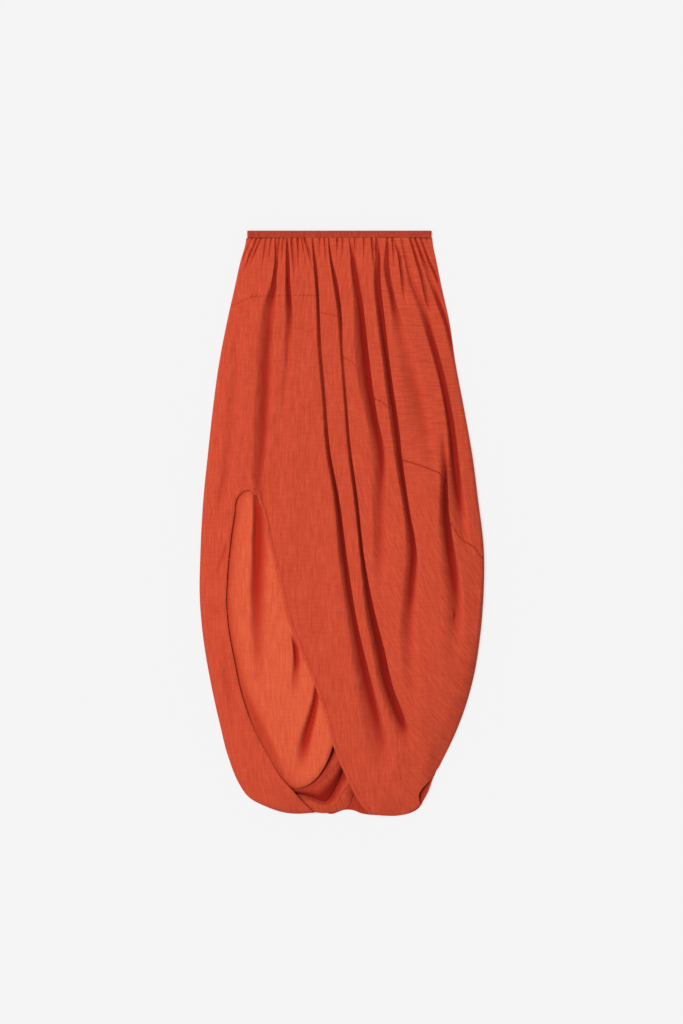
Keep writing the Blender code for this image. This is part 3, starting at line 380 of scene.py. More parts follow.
def edge_rise(distance, reach):
    """The rise of the front from its rim: a tight roll of cloth, then a long gentle slope."""
    slope = 1 - (1 - np.clip(distance / reach, 0, 1)) ** SLOPE_POWER
    return ROLL_SHARE * pillow(distance, RIM_ROLL) + (1 - ROLL_SHARE) * slope


def smooth(share):
    """An even start and stop between 0 and 1."""
    share = np.clip(share, 0, 1)
    return share * share * (3 - 2 * share)


def bell(value, at, width):
    """1 at a place, and a soft fall to 0 on both sides of it."""
    return np.exp(-((value - at) / width) ** 2)


def valley(fold, across, down):
    """Depth of one fold: a soft bell with its own width on each side, inside its length."""
    offset = across - read(fold, "across", down)
    wall = read(fold, "right", down)
    width = np.where(offset < 0, read(fold, "left", down), wall)
    share = 0.5 + 0.5 * np.cos(np.pi * np.clip(np.abs(offset) / width, 0, 1))
    share = share ** (1 - FLOOR_BREADTH * np.clip((FLOOR_WALL - wall) / FLOOR_SPAN, 0, 1))
    ends = (down >= fold["down"][0] - 1) & (down <= fold["down"][-1])
    return np.where(ends, np.clip(read(fold, "depth", down), 0, None) * share, 0)


def gather_fold(row):
    """One short gather as a fold that starts at the band and fades out."""
    start, depth, end, end_down, width = row
    return table(
        FOLD_COLUMNS,
        (start, BAND_DEPTH, 0.8 * width, 0.8 * width, depth),
        (0.5 * (start + end), 0.55 * end_down, width, width, 0.75 * depth),
        (end, end_down, 1.2 * width, 1.2 * width, 0),
    )


def fuller(fold, gain):
    """The same fold, deeper by a factor."""
    return {**fold, "depth": gain * fold["depth"]}


LONG_GAINS = (1.35, 1.4, 1.3, 1.4, 1.5, 1.5, 1.4, 1.8)
SMALL_GAIN = 2.4
GATHER_GAIN = 3.0
FRONT_FOLDS = [fuller(fold, gain) for fold, gain in zip(FOLDS, LONG_GAINS)]
FRONT_FOLDS += [fuller(fold, SMALL_GAIN) for fold in SMALL_FOLDS]
FRONT_FOLDS += [fuller(gather_fold(row), GATHER_GAIN) for row in zip(*GATHERS.values())]


def sunk(across, down):
    """How deep all the folds together press the front in."""
    return sum(valley(fold, across, down) for fold in FRONT_FOLDS)


def front_height(across, down):
    """Height of the front's outer face: a pillow over the outline, less every fold."""
    from_left = across - read(SIDES, "left", down)
    from_right = read(SIDES, "right", down) - across
    from_hem = glide(across, HEMLINE["across"], HEMLINE["down"]) - down
    rise = read(LEVEL, "height", down) * edge_rise(from_left, EDGE_ROLL)
    rise = rise * edge_rise(from_right, EDGE_ROLL) * edge_rise(from_hem, HEM_ROLL)
    return FRONT_RIM + np.maximum(rise - sunk(across, down), LEAST_SHARE * rise)


print("height in the middle of the balloon, mm:", float(front_height(0.0, 640.0).round(1)))

# %% [markdown]
# Real cloth is never as smooth as a formula. Waves with fixed, seeded directions and phases add
# the slight unrest between the folds. They are longer along the folds than across them.

# %% Unrest of the cloth
DICE = np.random.default_rng(11)


def unrest(count, shortest, longest, stretch):
    """A set of waves: their pitch across and down in millimetres, and a phase for each."""
    pitch = DICE.uniform(shortest, longest, count)
    angle = DICE.uniform(-0.9, 0.9, count)
    phase = DICE.uniform(0, 2 * np.pi, count)
    return pitch, angle, phase, stretch


def waves(field, across, down):
    """The sum of the waves, about -1 to 1."""
    total = 0
    for pitch, angle, phase in zip(*field[:3]):
        along = np.cos(angle) * across + np.sin(angle) * down / field[3]
        total = total + np.cos(2 * np.pi * along / pitch + phase)
    return total / np.sqrt(len(field[0]) * 2)


BROAD_UNREST = unrest(14, 34, 90, 3.5)
FINE_UNREST = unrest(26, 7, 16, 4.5)
SEAM_PUCKER = unrest(10, 5, 8, 1.0)
print("waves:", len(BROAD_UNREST[0]) + len(FINE_UNREST[0]) + len(SEAM_PUCKER[0]))

# %% [markdown]
# A crisp fold needs columns of the mesh that run along it. Each fold line gives three: its left
# shoulder, its bottom and its crest. The stretches between them are divided as finely as the
# gathers there need.

# %% Columns that follow the folds
COLUMN_GAP = 1.4
RIM_STEPS = (0.0, 0.8, 4.0, 12.0)
RIM_LINES = 0.0625
RIM_ROOM = 0.4
SHOULDER_ROOM = 0.42
MIDDLE_DROP = 22
FOLD_COUNT = len(FOLDS)


def seam_down(place, right_side):
    """Distance down of the yoke seam at a fold line, on the left or right of its step."""
    step = np.flatnonzero(np.abs(SEAM["line"] - place) < 1e-6)
    if len(step):
        return SEAM["down"][step[-1] if right_side else step[0]]
    return float(np.interp(place, SEAM["line"], SEAM["down"]))


def front_stations():
    """Stations across the front: (fold line, side of a seam step, kind, place)."""
    stations = [(RIM_LINES * i, True, "left", step) for i, step in enumerate(RIM_STEPS)]
    stations += [(0.5, True, "strip", 0.5), (0.9, True, "strip", 0.86), (1, True, "slit", 0)]
    for i in range(FOLD_COUNT):
        stations.append((i + 1.5, True, "middle", i))
        stations.append((i + 1.75, False, "fold", (i, "left")))
        stations.append((i + 2, False, "fold", (i, "bottom")))
        stations.append((i + 2.25, True, "fold", (i, "right")))
    stations.append((FOLD_COUNT + 1.5, True, "middle", FOLD_COUNT))
    for i, step in enumerate(reversed(RIM_STEPS)):
        stations.append((FOLD_COUNT + 2 - RIM_LINES * (3 - i), True, "right", step))
    return stations


def guide_lines(down):
    """X of the slit line, of every fold line and of the right side, at distances down."""
    above = down < SLIT_RIGHT["down"][0]
    slit = np.where(above, read(SLIT_LEAD, "across", down), read(SLIT_RIGHT, "across", down))
    low = down > FRONT_HEM_RIGHT["down"][0]
    right = np.where(low, read(FRONT_HEM_RIGHT, "across", down), read(SIDES, "right", down))
    return [slit] + [read(fold, "across", down) for fold in FOLDS] + [right]


def shoulder(guides, index, side, down):
    """A fold's left or right shoulder, never past the middle towards its neighbour."""
    centre = guides[index + 1]
    neighbour = guides[index] if side == "left" else guides[index + 2]
    width = np.minimum(read(FOLDS[index], side, down), SHOULDER_ROOM * np.abs(neighbour - centre))
    return centre - width if side == "left" else centre + width


def station_across(station, down):
    """X of one station at distances down."""
    _, _, kind, place = station
    guides = guide_lines(down)
    left = read(SIDES, "left", down)
    if kind == "left":
        return left + place
    if kind == "strip":
        return left + place * (guides[0] - left)
    if kind == "slit":
        return guides[0]
    room = guides[-1] - shoulder(guides, FOLD_COUNT - 1, "right", down)
    if kind == "right":
        return guides[-1] - place * np.minimum(1, RIM_ROOM * room / RIM_STEPS[-1])
    if kind == "fold":
        index, side = place
        return guides[index + 1] if side == "bottom" else shoulder(guides, index, side, down)
    before = guides[0] if place == 0 else shoulder(guides, place - 1, "right", down)
    if place == FOLD_COUNT:
        return 0.5 * (before + guides[-1] - np.minimum(RIM_STEPS[-1], RIM_ROOM * room))
    return 0.5 * (before + shoulder(guides, place, "left", down))


STATIONS = front_stations()
SLIT_STATION = [station[2] for station in STATIONS].index("slit")
print("stations:", len(STATIONS))

# %% Division of the stretches between stations
# Columns in each stretch: left rim and strip, the four stretches of every long fold, right rim
YOKE_STEPS = (
    (3, 3, 4, 10, 10, 5),
    (12, 12, 10, 6),
    (6, 6, 6, 5),
    (19, 19, 8, 6),
    (12, 12, 6, 6),
    (13, 13, 10, 6),
    (22, 22, 8, 6),
    (14, 14, 4, 4),
    (3, 3, 5, 5),
    (24, 24, 4, 3, 3),
)
LOWER_STEPS = (
    (3, 3, 4, 8, 8, 4),
    (5, 5, 9, 8),
    (5, 5, 6, 5),
    (12, 12, 9, 6),
    (7, 7, 8, 6),
    (8, 8, 10, 6),
    (11, 11, 9, 6),
    (12, 12, 8, 6),
    (4, 4, 5, 5),
    (14, 14, 4, 3, 3),
)


def column_weights(steps):
    """Each column as a mix of the two stations that it lies between."""
    rows = []
    for i, count in enumerate(steps):
        for part in range(count):
            row = np.zeros(len(steps) + 1)
            row[i], row[i + 1] = 1 - part / count, part / count
            rows.append(row)
    rows.append(np.eye(len(steps) + 1)[-1])
    return np.array(rows).T


YOKE_WEIGHTS = column_weights(sum(YOKE_STEPS, ()))
LOWER_WEIGHTS = column_weights(sum(LOWER_STEPS, ()))
SLIT_COLUMN = sum(LOWER_STEPS[0])
SEAM_AT = np.array([seam_down(station[0], station[1]) for station in STATIONS])
past_slit = np.array([max(station[0] - 1, 0) for station in STATIONS])
MIDDLE_AT = SLIT_RIGHT["down"][0] + MIDDLE_DROP * past_slit
print("columns:", YOKE_WEIGHTS.shape[1], LOWER_WEIGHTS.shape[1])


def spread(places):
    """Keep neighbouring stations at least a little apart, with both ends where they are."""
    room = places[:, -1] - places[:, 0]
    least = np.minimum(COLUMN_GAP, 0.9 * room / (places.shape[1] - 1))
    for i in range(1, places.shape[1] - 1):
        places[:, i] = np.maximum(places[:, i], places[:, i - 1] + least)
    for i in range(places.shape[1] - 2, 0, -1):
        places[:, i] = np.minimum(places[:, i], places[:, i + 1] - least)
    return places


def front_plan(starts, ends, shares, weights, first=0):
    """Rows of (across, down) between two lines, from the station with a given number on."""
    downs = starts[None, first:] + shares[:, None] * (ends - starts)[None, first:]
    across = np.column_stack([
        station_across(station, downs[:, i]) for i, station in enumerate(STATIONS[first:])
    ])
    across = spread(across)
    if first:
        edge = by_length(SLIT_RIGHT, shares)
        across[:, 0], downs[:, 0] = edge[:, 0], edge[:, 1]
    weights = weights[first:, SLIT_COLUMN if first else 0:]
    return across @ weights, downs @ weights


# %% [markdown]
# The surface is finished by small moves that a formula for height alone can't make: each crisp
# crest leans over its valley, the cloth rolls under along the slit, and the yoke seam puckers.

# %% Finish of the front's surface
LEAN_SHARE = 0.5
LEAN_MOST = 2.0
LEAN_FADE = 12.0
LEAN_WALL = 4.5
LEAN_SPAN = 2.5
SLIT_ROLL = 1.3
SLIT_ROLL_WIDTH = 2.6
SLIT_RIM = 1.3
SLIT_RIM_AT = 4.0
SLIT_RIM_SPAN = 1.6
FULL_HEIGHT = 6
BROAD_HEIGHT = 0.8
FINE_HEIGHT = 0.22
CORNER = (124.0, 914.0)
CORNER_REACH = 22.0
CORNER_LIFT = 2.2
PUCKER_HEIGHT = 0.6
PUCKER_REACH = 8.0
SEAM_DIP = 1.0
SEAM_WIDTH = 1.3
SEAM_RIDGE = 0.5
SEAM_RIDGE_AT = 3.2
SEAM_RIDGE_WIDTH = 1.8

# How plain the seam is, from hardly seen on the left to a deep groove on the right; it sets how
# deep the groove is and how dark its painted shade
SEAM_SHADE = table(
    "across shade",
    (-182, 0.18), (-40, 0.2), (20, 0.4), (80, 0.7), (190, 1), (231, 1),
)
SEAM_SHADE_WIDTH = 1.4


def seam_strength(across):
    """How plain the seam is at each place across."""
    return glide(across, SEAM_SHADE["across"], SEAM_SHADE["shade"])


def seam_shade(across, down, seam_line):
    """Painted shade along the seam's groove, between 0 and 1, for the material."""
    uneven = np.clip(0.7 + 0.5 * waves(SEAM_PUCKER, across, down), 0.3, 1)
    return uneven * seam_strength(across) * bell(down, seam_line, SEAM_SHADE_WIDTH)


def lean(across, down):
    """How far each place moves left, so that a crisp crest hangs over its valley."""
    total = np.zeros_like(across)
    for fold in FOLDS:
        wall_width = read(fold, "right", down)
        offset = across - read(fold, "across", down)
        crisp = np.clip((LEAN_WALL - wall_width) / LEAN_SPAN, 0, 1)
        reach = np.minimum(LEAN_SHARE * np.clip(read(fold, "depth", down), 0, None), LEAN_MOST)
        over = smooth(offset / wall_width) * (1 - smooth((offset - wall_width) / LEAN_FADE))
        total += reach * crisp * np.where(offset > 0, over, 0)
    return total


def by_length(rows, shares=None, pitch=2.0):
    """Points along a table's line, at shares of its length or else a pitch apart."""
    steps = np.hypot(np.diff(rows["across"]), np.diff(rows["down"]))
    lengths = np.concatenate([[0], np.cumsum(steps)])
    at = np.arange(0, lengths[-1], pitch) if shares is None else shares * lengths[-1]
    return np.column_stack([glide(at, lengths, rows["across"]), glide(at, lengths, rows["down"])])


def distance_to(points, across, down):
    """Distance from each place to the nearest of the points of a line."""
    nearest = np.inf
    for x, y in points:
        nearest = np.minimum(nearest, np.hypot(across - x, down - y))
    return nearest


# The rolled edges: both sides of the slit
SLIT_LINE = np.vstack([by_length(SLIT_LEFT), by_length(SLIT_RIGHT)])


def corner_lift(across, down):
    """The free corner of the front at the right hem stands off the back."""
    return CORNER_LIFT * bell(np.hypot(across - CORNER[0], down - CORNER[1]), 0, CORNER_REACH)


def front_surface(across, down, seam_line):
    """Places of the front's outer face in the skirt's frame, in millimetres."""
    height = front_height(across, down) + corner_lift(across, down)
    fullness = np.clip((height - FRONT_RIM) / FULL_HEIGHT, 0, 1)
    height = height + BROAD_HEIGHT * fullness * waves(BROAD_UNREST, across, down)
    height = height + FINE_HEIGHT * fullness * waves(FINE_UNREST, across, down)
    from_seam = down - seam_line
    pucker = np.exp(-np.abs(from_seam) / PUCKER_REACH) * waves(SEAM_PUCKER, across, down)
    groove = SEAM_DIP * bell(from_seam, 0, SEAM_WIDTH)
    groove = groove - SEAM_RIDGE * bell(from_seam, -SEAM_RIDGE_AT, SEAM_RIDGE_WIDTH)
    groove = (0.4 + 0.6 * seam_strength(across)) * groove
    height = height + fullness * (PUCKER_HEIGHT * pucker - groove)
    edge = distance_to(SLIT_LINE, across, down)
    height = height - SLIT_ROLL * (1 - pillow(edge, SLIT_ROLL_WIDTH))
    height = height + SLIT_RIM * bell(edge, SLIT_RIM_AT, SLIT_RIM_SPAN)
    height = np.maximum(height, FRONT_RIM)
    return np.dstack([across - lean(across, down), WAIST_Y - down, height])


# Painted shade of the front: full where the folds sink it this deep, coming in by this power
DEEP_FOLD = 9.5
PAINTED_SHADE_POWER = 2.2
NO_SEAM = np.array([[-1000.0]])


def front_grid(across, down, seam_line=NO_SEAM):
    """The front's points over a grid, and their painted shade: 0 on the open face, 1 in a deep
    fold.
    """
    shade = np.clip(sunk(across, down) / DEEP_FOLD, 0, 1) ** PAINTED_SHADE_POWER
    shade = np.maximum(shade, seam_shade(across, down, seam_line))
    return front_surface(across, down, seam_line), shade


# %% [markdown]
# Every cloth piece is made the same way: a grid of outer points becomes an open sheet, and
# Solidify gives it the cloth's thickness on the inside. The sheet carries its own UV map in
# millimetres of cloth, so that weave and crinkle follow the folds.

# %% From a grid of points to a piece of cloth
def quads(index):
    """Faces over a grid of point numbers."""
    upper, lower = index[:-1], index[1:]
    faces = np.stack([upper[:, :-1], lower[:, :-1], lower[:, 1:], upper[:, 1:]], axis=-1)
    return faces.reshape(-1, 4)


# How far the grain has drifted sideways at each distance down, right of the fourth fold
GRAIN = table("down drift", (0, 0), (300, 12), (450, 45), (600, 110), (750, 200), (950, 330))
WALL_SHARE = 0.6
# The cross grain comes in over a stretch to the right, and fades over a stretch down
CROSS_IN = (30, 60)
CROSS_OUT = (330, 140)


def grain_of(points):
    """Cloth coordinates across and down, and how far the cross grain shows at each point."""
    across, down = points[..., 0], WAIST_Y - points[..., 1]
    slanted = across > read(FOLDS[3], "across", down) - 2
    drift = np.where(slanted, read(GRAIN, "drift", down), 0)
    cross_in = smooth((across - CROSS_IN[0]) / CROSS_IN[1])
    cross = cross_in * (1 - smooth((down - CROSS_OUT[0]) / CROSS_OUT[1]))
    return np.dstack([across - drift + WALL_SHARE * points[..., 2], down, cross])


def add_object(name, data):
    """Link a new object with its mesh, light or camera into the scene."""
    made = bpy.data.objects.new(name, data)
    bpy.context.scene.collection.objects.link(made)
    return made


def float_layer(mesh, name, values):
    """A named number for each point, which the material reads."""
    layer = mesh.attributes.new(name, "FLOAT", "POINT")
    layer.data.foreach_set("value", np.asarray(values, float).ravel())


def numbered(shape, start=0):
    """Point numbers of a grid, row by row."""
    return start + np.arange(shape[0] * shape[1]).reshape(shape[:2])


def sheet_of(name, grids, deep, index_grids=None, thickness=CLOTH):
    """A piece of cloth from grids of outer points, with its grain and the painted shade of each
    point.
    """
    index_grids = index_grids or [numbered(grids[0].shape)]
    points = np.vstack([grid.reshape(-1, 3) for grid in grids])
    grain = np.vstack([grain_of(grid).reshape(-1, 3) for grid in grids])
    faces = np.vstack([quads(index) for index in index_grids])
    mesh = bpy.data.meshes.new(name)
    mesh.from_pydata((points * TO_METRES).tolist(), [], faces.tolist())
    layer = mesh.uv_layers.new(name="cloth")
    corners = np.zeros(len(mesh.loops), int)
    mesh.loops.foreach_get("vertex_index", corners)
    layer.data.foreach_set("uv", (grain[corners, :2] * TO_METRES).ravel())
    float_layer(mesh, "cross_grain", grain[:, 2])
    # Painted shade: how far the material darkens each point, in deep folds and other shaded places
    float_layer(mesh, "painted_shade_amount", np.concatenate([np.ravel(part) for part in deep]))
    piece = add_object(name, mesh)
    if mesh.polygons[len(mesh.polygons) // 2].normal.z < 0:
        mesh.flip_normals()
    mesh.shade_smooth()
    wall = piece.modifiers.new("cloth thickness", "SOLIDIFY")
    wall.thickness = thickness * TO_METRES
    wall.offset = -1
    print(name, "quads:", len(faces))
    return piece


# A cut edge stays crisp: shading is smooth only over gentler turns than this
CUT_ANGLE = np.radians(62)


def apply_all(piece):
    """Make the modifiers part of the mesh, with crisp cut edges, nothing below the surface."""
    bpy.ops.object.select_all(action="DESELECT")
    bpy.context.view_layer.objects.active = piece
    piece.select_set(True)
    for modifier in list(piece.modifiers):
        bpy.ops.object.modifier_apply(modifier=modifier.name)
    for vertex in piece.data.vertices:
        vertex.co.z = max(vertex.co.z, 0)
    piece.data.set_sharp_from_angle(angle=CUT_ANGLE)
    piece.select_set(False)


# %% [markdown]
# The yoke runs from the band to the seam. Its rows lie closest under the band, at the gathers.

# %% The front yoke
YOKE_ROWS = 100


def eased(count, power):
    """Shares from 0 to 1 that lie closer together at the start."""
    return np.linspace(0, 1, count) ** power


band_line = np.full(len(STATIONS), BAND_DEPTH + 0.3)
YOKE_SHARES = np.concatenate([eased(YOKE_ROWS, 1.25)[:-1], [0.9925, 0.996, 0.9985, 1]])
yoke_across, yoke_down = front_plan(band_line, SEAM_AT - 0.05, YOKE_SHARES, YOKE_WEIGHTS)
yoke_points, yoke_painted_shade = front_grid(yoke_across, yoke_down, (SEAM_AT @ YOKE_WEIGHTS)[None, :])
yoke = sheet_of("front_yoke_cloth", [yoke_points], [yoke_painted_shade])

# %% [markdown]
# The lower front is one cloth: whole above the slit, then a strip on its left and the balloon on
# its right. The three grids share the points where they meet.

# %% The lower front
UPPER_ROWS = 50
HEM_START = 0.8
HEM_INSET = 0.8
HEM_CORNER = 118
HEM_CORNER_FADE = 30
HEM_ONLY = 860
HEM_ONLY_FADE = 40
TIP_START = 0.8
TIP_LENGTH = 0.14
TIP_LIFT = 4.2
TIP_ROLL = 9.0
TIP_RIDGE = 1.0
TIP_RIDGE_AT = 7.0
LOWER_ROWS = 92
UPPER_SHARES = np.concatenate([[0, 0.004, 0.008], eased(UPPER_ROWS, 1.1)[1:]])
LOWER_SHARES = np.concatenate([
    np.array([0, 0.0016, 0.004, 0.008]),
    np.linspace(0.014, 0.955, LOWER_ROWS - 12),
    np.array([0.966, 0.976, 0.984, 0.99, 0.9945, 0.9975, 0.999, 1]),
])


# Columns of the strip: its outer rim keeps inside a share of the way to the first of these
STRIP_SHARES = (0.5, 0.86, 1)
STRIP_ROOM = 0.8
# The side seams, where front and back meet on one line, end at this distance down
SIDE_END = 859.0


def strip_plan():
    """Rows of the strip left of the slit, from its outer edge to the slit."""
    outer, inner = by_length(STRIP_OUTER, LOWER_SHARES), by_length(SLIT_LEFT, LOWER_SHARES)
    on_side = outer[:, 1] < SIDE_END
    outer[on_side, 0] = read(SIDES, "left", outer[on_side, 1])
    width = np.hypot(*(inner - outer).T)
    room = np.minimum(1, STRIP_SHARES[0] * STRIP_ROOM * width / RIM_STEPS[-1])
    stations = [step * room / width for step in RIM_STEPS]
    stations = np.column_stack(stations + [0 * width + share for share in STRIP_SHARES])
    shares = stations @ LOWER_WEIGHTS[:SLIT_STATION + 1, :SLIT_COLUMN + 1]
    return [outer[:, [k]] + shares * (inner - outer)[:, [k]] for k in (0, 1)]


guides = (SLIT_RIGHT, *FOLDS, FRONT_HEM_RIGHT)
guide_ends = [rows["down"][-1] for rows in guides]
lines_past_slit = [station[0] - 1 for station in STATIONS]
HEM_AT = np.interp(lines_past_slit, np.arange(len(guide_ends)), guide_ends)
upper_across, upper_down = front_plan(SEAM_AT + 0.05, MIDDLE_AT, UPPER_SHARES, LOWER_WEIGHTS)
right_across, right_down = front_plan(
    MIDDLE_AT, HEM_AT, LOWER_SHARES, LOWER_WEIGHTS, first=SLIT_STATION
)
near_hem = smooth((LOWER_SHARES - HEM_START) / (1 - HEM_START))[:, None]
near_hem = near_hem * smooth((HEM_CORNER - right_across) / HEM_CORNER_FADE)
near_hem = near_hem * smooth((right_across - right_across[:, :1]) / HEM_CORNER_FADE)
lowest = glide(right_across, HEMLINE["across"], HEMLINE["down"]) - HEM_INSET
on_hem = np.minimum(right_down + near_hem * (lowest - right_down), lowest)
right_down = right_down + smooth((right_down - HEM_ONLY) / HEM_ONLY_FADE) * (on_hem - right_down)
left_across, left_down = strip_plan()
upper_seam = (SEAM_AT @ LOWER_WEIGHTS)[None, :]
upper_points, upper_painted_shade = front_grid(upper_across, upper_down, upper_seam)
right_points, right_painted_shade = front_grid(right_across, right_down)
left_points, left_painted_shade = front_grid(left_across, left_down)
from_outer = np.hypot(left_across - left_across[:, :1], left_down - left_down[:, :1])
tip = smooth((LOWER_SHARES - TIP_START) / TIP_LENGTH)[:, None] * pillow(from_outer, TIP_ROLL)
edge_of_strip = distance_to(SLIT_LINE, left_across, left_down)
left_points[..., 2] += TIP_LIFT * tip
left_points[..., 2] += TIP_RIDGE * tip * bell(edge_of_strip, TIP_RIDGE_AT, SLIT_RIM_SPAN)
left_points[0] = upper_points[-1, :SLIT_COLUMN + 1]
right_points[0] = upper_points[-1, SLIT_COLUMN:]
upper_index = numbered(upper_points.shape)
left_rest = numbered(left_points[1:].shape, upper_index.size)
right_rest = numbered(right_points[1:].shape, upper_index.size + left_rest.size)
left_index = np.vstack([upper_index[-1:, :SLIT_COLUMN + 1], left_rest])
right_index = np.vstack([upper_index[-1:, SLIT_COLUMN:], right_rest])
lower_front = sheet_of(
    "front_drape_cloth",
    [upper_points, left_points[1:], right_points[1:]],
    [upper_painted_shade, left_painted_shade[1:], right_painted_shade[1:]],
    [upper_index, left_index, right_index],
)

# %% [markdown]
# The drape inside the slit hangs just under the front. It is a grid between two hidden side lines
# whose last row bends into the free hanging edge.

# %% The inner drape
DRAPE_ROWS = 120
DRAPE_COLUMNS = 150
DRAPE_UNREST = 0.7
DRAPE_SHIFT = 300
DRAPE_DEEP = 6.0
DRAPE_LENGTH = 520
DRAPE_HEM_DROP = 3.0
DRAPE_HEM_ROLL = 9.0
LEAST_GAP = 0.5
# A painted shadow that the strip throws on the drape beside the slit: its width and how dark it is
EDGE_SHADE = table(
    "down width shade",
    (450, 8, 0.95), (600, 8, 0.95), (700, 9, 0.85), (800, 12, 0.75),
)


def drape_points():
    """Places of the inner drape's outer face, and its painted shade."""
    down_shares = np.linspace(0, 1, DRAPE_ROWS)
    across_shares = np.linspace(0, 1, DRAPE_COLUMNS)
    left = by_length(DRAPE_LEFT, down_shares)[:, None, :]
    right = by_length(DRAPE_RIGHT, down_shares)[:, None, :]
    plan = left + across_shares[None, :, None] * (right - left)
    edge = by_length(DRAPE_EDGE, across_shares)
    bulge = edge - plan[-1]
    plan = plan + bulge[None] * down_shares[:, None, None] ** 2
    across, down = plan[..., 0], plan[..., 1]
    drop = np.tile(glide(across_shares, DRAPE_DROP["share"], DRAPE_DROP["drop"]), (DRAPE_ROWS, 1))
    sewn = np.clip(1 - np.arange(DRAPE_ROWS) / DRAPE_ROWS / DRAPE_TOP_SHARE, 0, 1)[:, None]
    drop = drop + sewn * (np.minimum(drop, DRAPE_TOP_DROP) - drop)
    folds = sum(valley(fold, across, down) for fold in DRAPE_FOLDS)
    height = front_height(across, down) - drop - folds
    # Painted shade: darker in the drape's folds, and a painted shadow of the strip beside the slit
    from_edge = across - read(SLIT_LEFT, "across", down)
    under = np.exp(-np.abs(from_edge) / read(EDGE_SHADE, "width", down))
    under = read(EDGE_SHADE, "shade", down) * under
    deep = np.maximum(np.clip(folds / DRAPE_DEEP, 0, 1), under)
    height = height + DRAPE_UNREST * waves(BROAD_UNREST, across + DRAPE_SHIFT, down)
    height = height + FINE_HEIGHT * waves(FINE_UNREST, across + DRAPE_SHIFT, down)
    to_edge = (1 - down_shares[:, None]) * DRAPE_LENGTH
    height = height - DRAPE_HEM_DROP * (1 - pillow(to_edge, DRAPE_HEM_ROLL))
    height = np.maximum(height, FRONT_RIM + CLOTH + LEAST_GAP)
    return np.dstack([across, WAIST_Y - down, height]), deep


inner_points, inner_painted_shade = drape_points()
inner_drape = sheet_of("inner_drape_cloth", [inner_points], [inner_painted_shade])

# %% [markdown]
# The turned-up hem shows under the drape as a narrow rolled band, and below it a strip that has
# twisted as the hem was drawn in. Both are rolled strips: low at their edges, with a crest
# between.

# %% The hem band and the twisted strip
STRIP_LENGTHWAYS = 120
STRIP_ACROSS = 24
# Painted shade of the hem strips: darker where a strip lies low, over this height range, and a
# painted shadow of the drape's hanging edge, with its width and its spread across
DEEP_RANGE = 6.0
DRAPE_SHADE_WIDTH = 9.0
SHADE_END = -120
SHADE_RUN = 90
LEAST_SHADE = 0.3
STRIP_WAVES = 0.5
CREST_RIDGE = 1.3
CREST_WIDTH = 2.0


def hem_line(rows, edge):
    """Across, down and height along one of a strip's three lines."""
    along = np.linspace(0, 1, STRIP_LENGTHWAYS)
    knots = np.linspace(0, 1, len(rows["upper_across"]))
    parts = [glide(along, knots, rows[edge + "_" + part]) for part in ("across", "down", "height")]
    return np.column_stack(parts)[:, None, :]


def drape_shade(across, down):
    """Painted shadow of the drape's hanging edge on what lies beside it, most at its right end."""
    share = np.clip((across - SHADE_END) / SHADE_RUN, LEAST_SHADE, 1)
    return share * np.exp(-distance_to(by_length(DRAPE_EDGE), across, down) / DRAPE_SHADE_WIDTH)


def hem_strip(name, rows, power, unrest_height, deep_half, deep_below):
    """A folded strip along the hem: it rises to its crest by a power and rounds off behind it."""
    upper, crest, lower = [hem_line(rows, edge) for edge in ("upper", "crest", "lower")]
    over = np.linspace(0, 1, STRIP_ACROSS)[None, :, None]
    front = upper + over * (crest - upper)
    front[..., 2:] = upper[..., 2:] + over ** power * (crest - upper)[..., 2:]
    behind = crest + over * (lower - crest)
    behind[..., 2:] = lower[..., 2:] + np.cos(0.5 * np.pi * over) * (crest - lower)[..., 2:]
    plan = np.hstack([front, behind[:, 1:]])
    across, down, height = plan[..., 0], plan[..., 1], plan[..., 2]
    height = height + unrest_height * waves(FINE_UNREST, across * STRIP_WAVES, down * STRIP_WAVES)
    from_crest = np.hypot(across - crest[..., 0], down - crest[..., 1])
    height = height + CREST_RIDGE * bell(from_crest, 0, CREST_WIDTH)
    height = np.maximum(height, CLOTH + FRONT_RIM)
    # Painted shade: darker where the strip lies low, on one half of it, and beside the drape's
    # hanging edge
    deep = np.clip((deep_below - height) / DEEP_RANGE, 0, 1)
    deep[:, STRIP_ACROSS:] *= deep_half
    deep[:, :STRIP_ACROSS] *= 1 - deep_half
    deep = np.maximum(deep, drape_shade(across, down))
    return sheet_of(name, [np.dstack([across, WAIST_Y - down, height])], [deep])


hem_band = hem_strip("hem_band_cloth", HEM_BAND, 2.2, 0.3, 1, 15.0)
hem_twist = hem_strip("hem_twist_cloth", HEM_TWIST, 1.8, 0.4, 0, 9.0)

# %% [markdown]
# The back lies flat on the surface. It is a patch between four border lines, with a few long,
# shallow folds pressed up into it from below and short gathers under the band, like those of the
# front.

# %% The back
BACK_FOLDS = fold_set(
    (
        (-96, 13, 5, 5, 1), (-110, 160, 12, 12, 2.2), (-128, 420, 16, 16, 2),
        (-120, 700, 14, 14, 0),
    ),
    (
        (-40, 13, 4, 4, 1), (-46, 200, 9, 9, 2.4), (-60, 520, 14, 14, 2.4),
        (-40, 840, 12, 12, 0),
    ),
    (
        (8, 13, 4, 4, 1), (14, 140, 8, 8, 2), (26, 360, 12, 12, 0),
    ),
    (
        (52, 13, 4, 4, 1), (70, 240, 10, 10, 2.6), (96, 560, 14, 14, 2.2), (70, 860, 10, 10, 0),
    ),
    (
        (104, 13, 4, 4, 1), (130, 180, 9, 9, 2), (160, 460, 14, 14, 1.6), (150, 660, 10, 10, 0),
    ),
)
BACK_GAIN = 1.9
BACK_GATHER_GAIN = 0.8
BACK_UNREST = 0.8
BACK_SHIFT = 700
BACK_FLAT = 8
BACK_ROWS = 200
BACK_COLUMNS = 185
BACK_RIM = 3.0
BACK_RIM_WIDTH = 17.0
BACK_RIM_ABOVE = 6
BACK_RIM_SPAN = 16
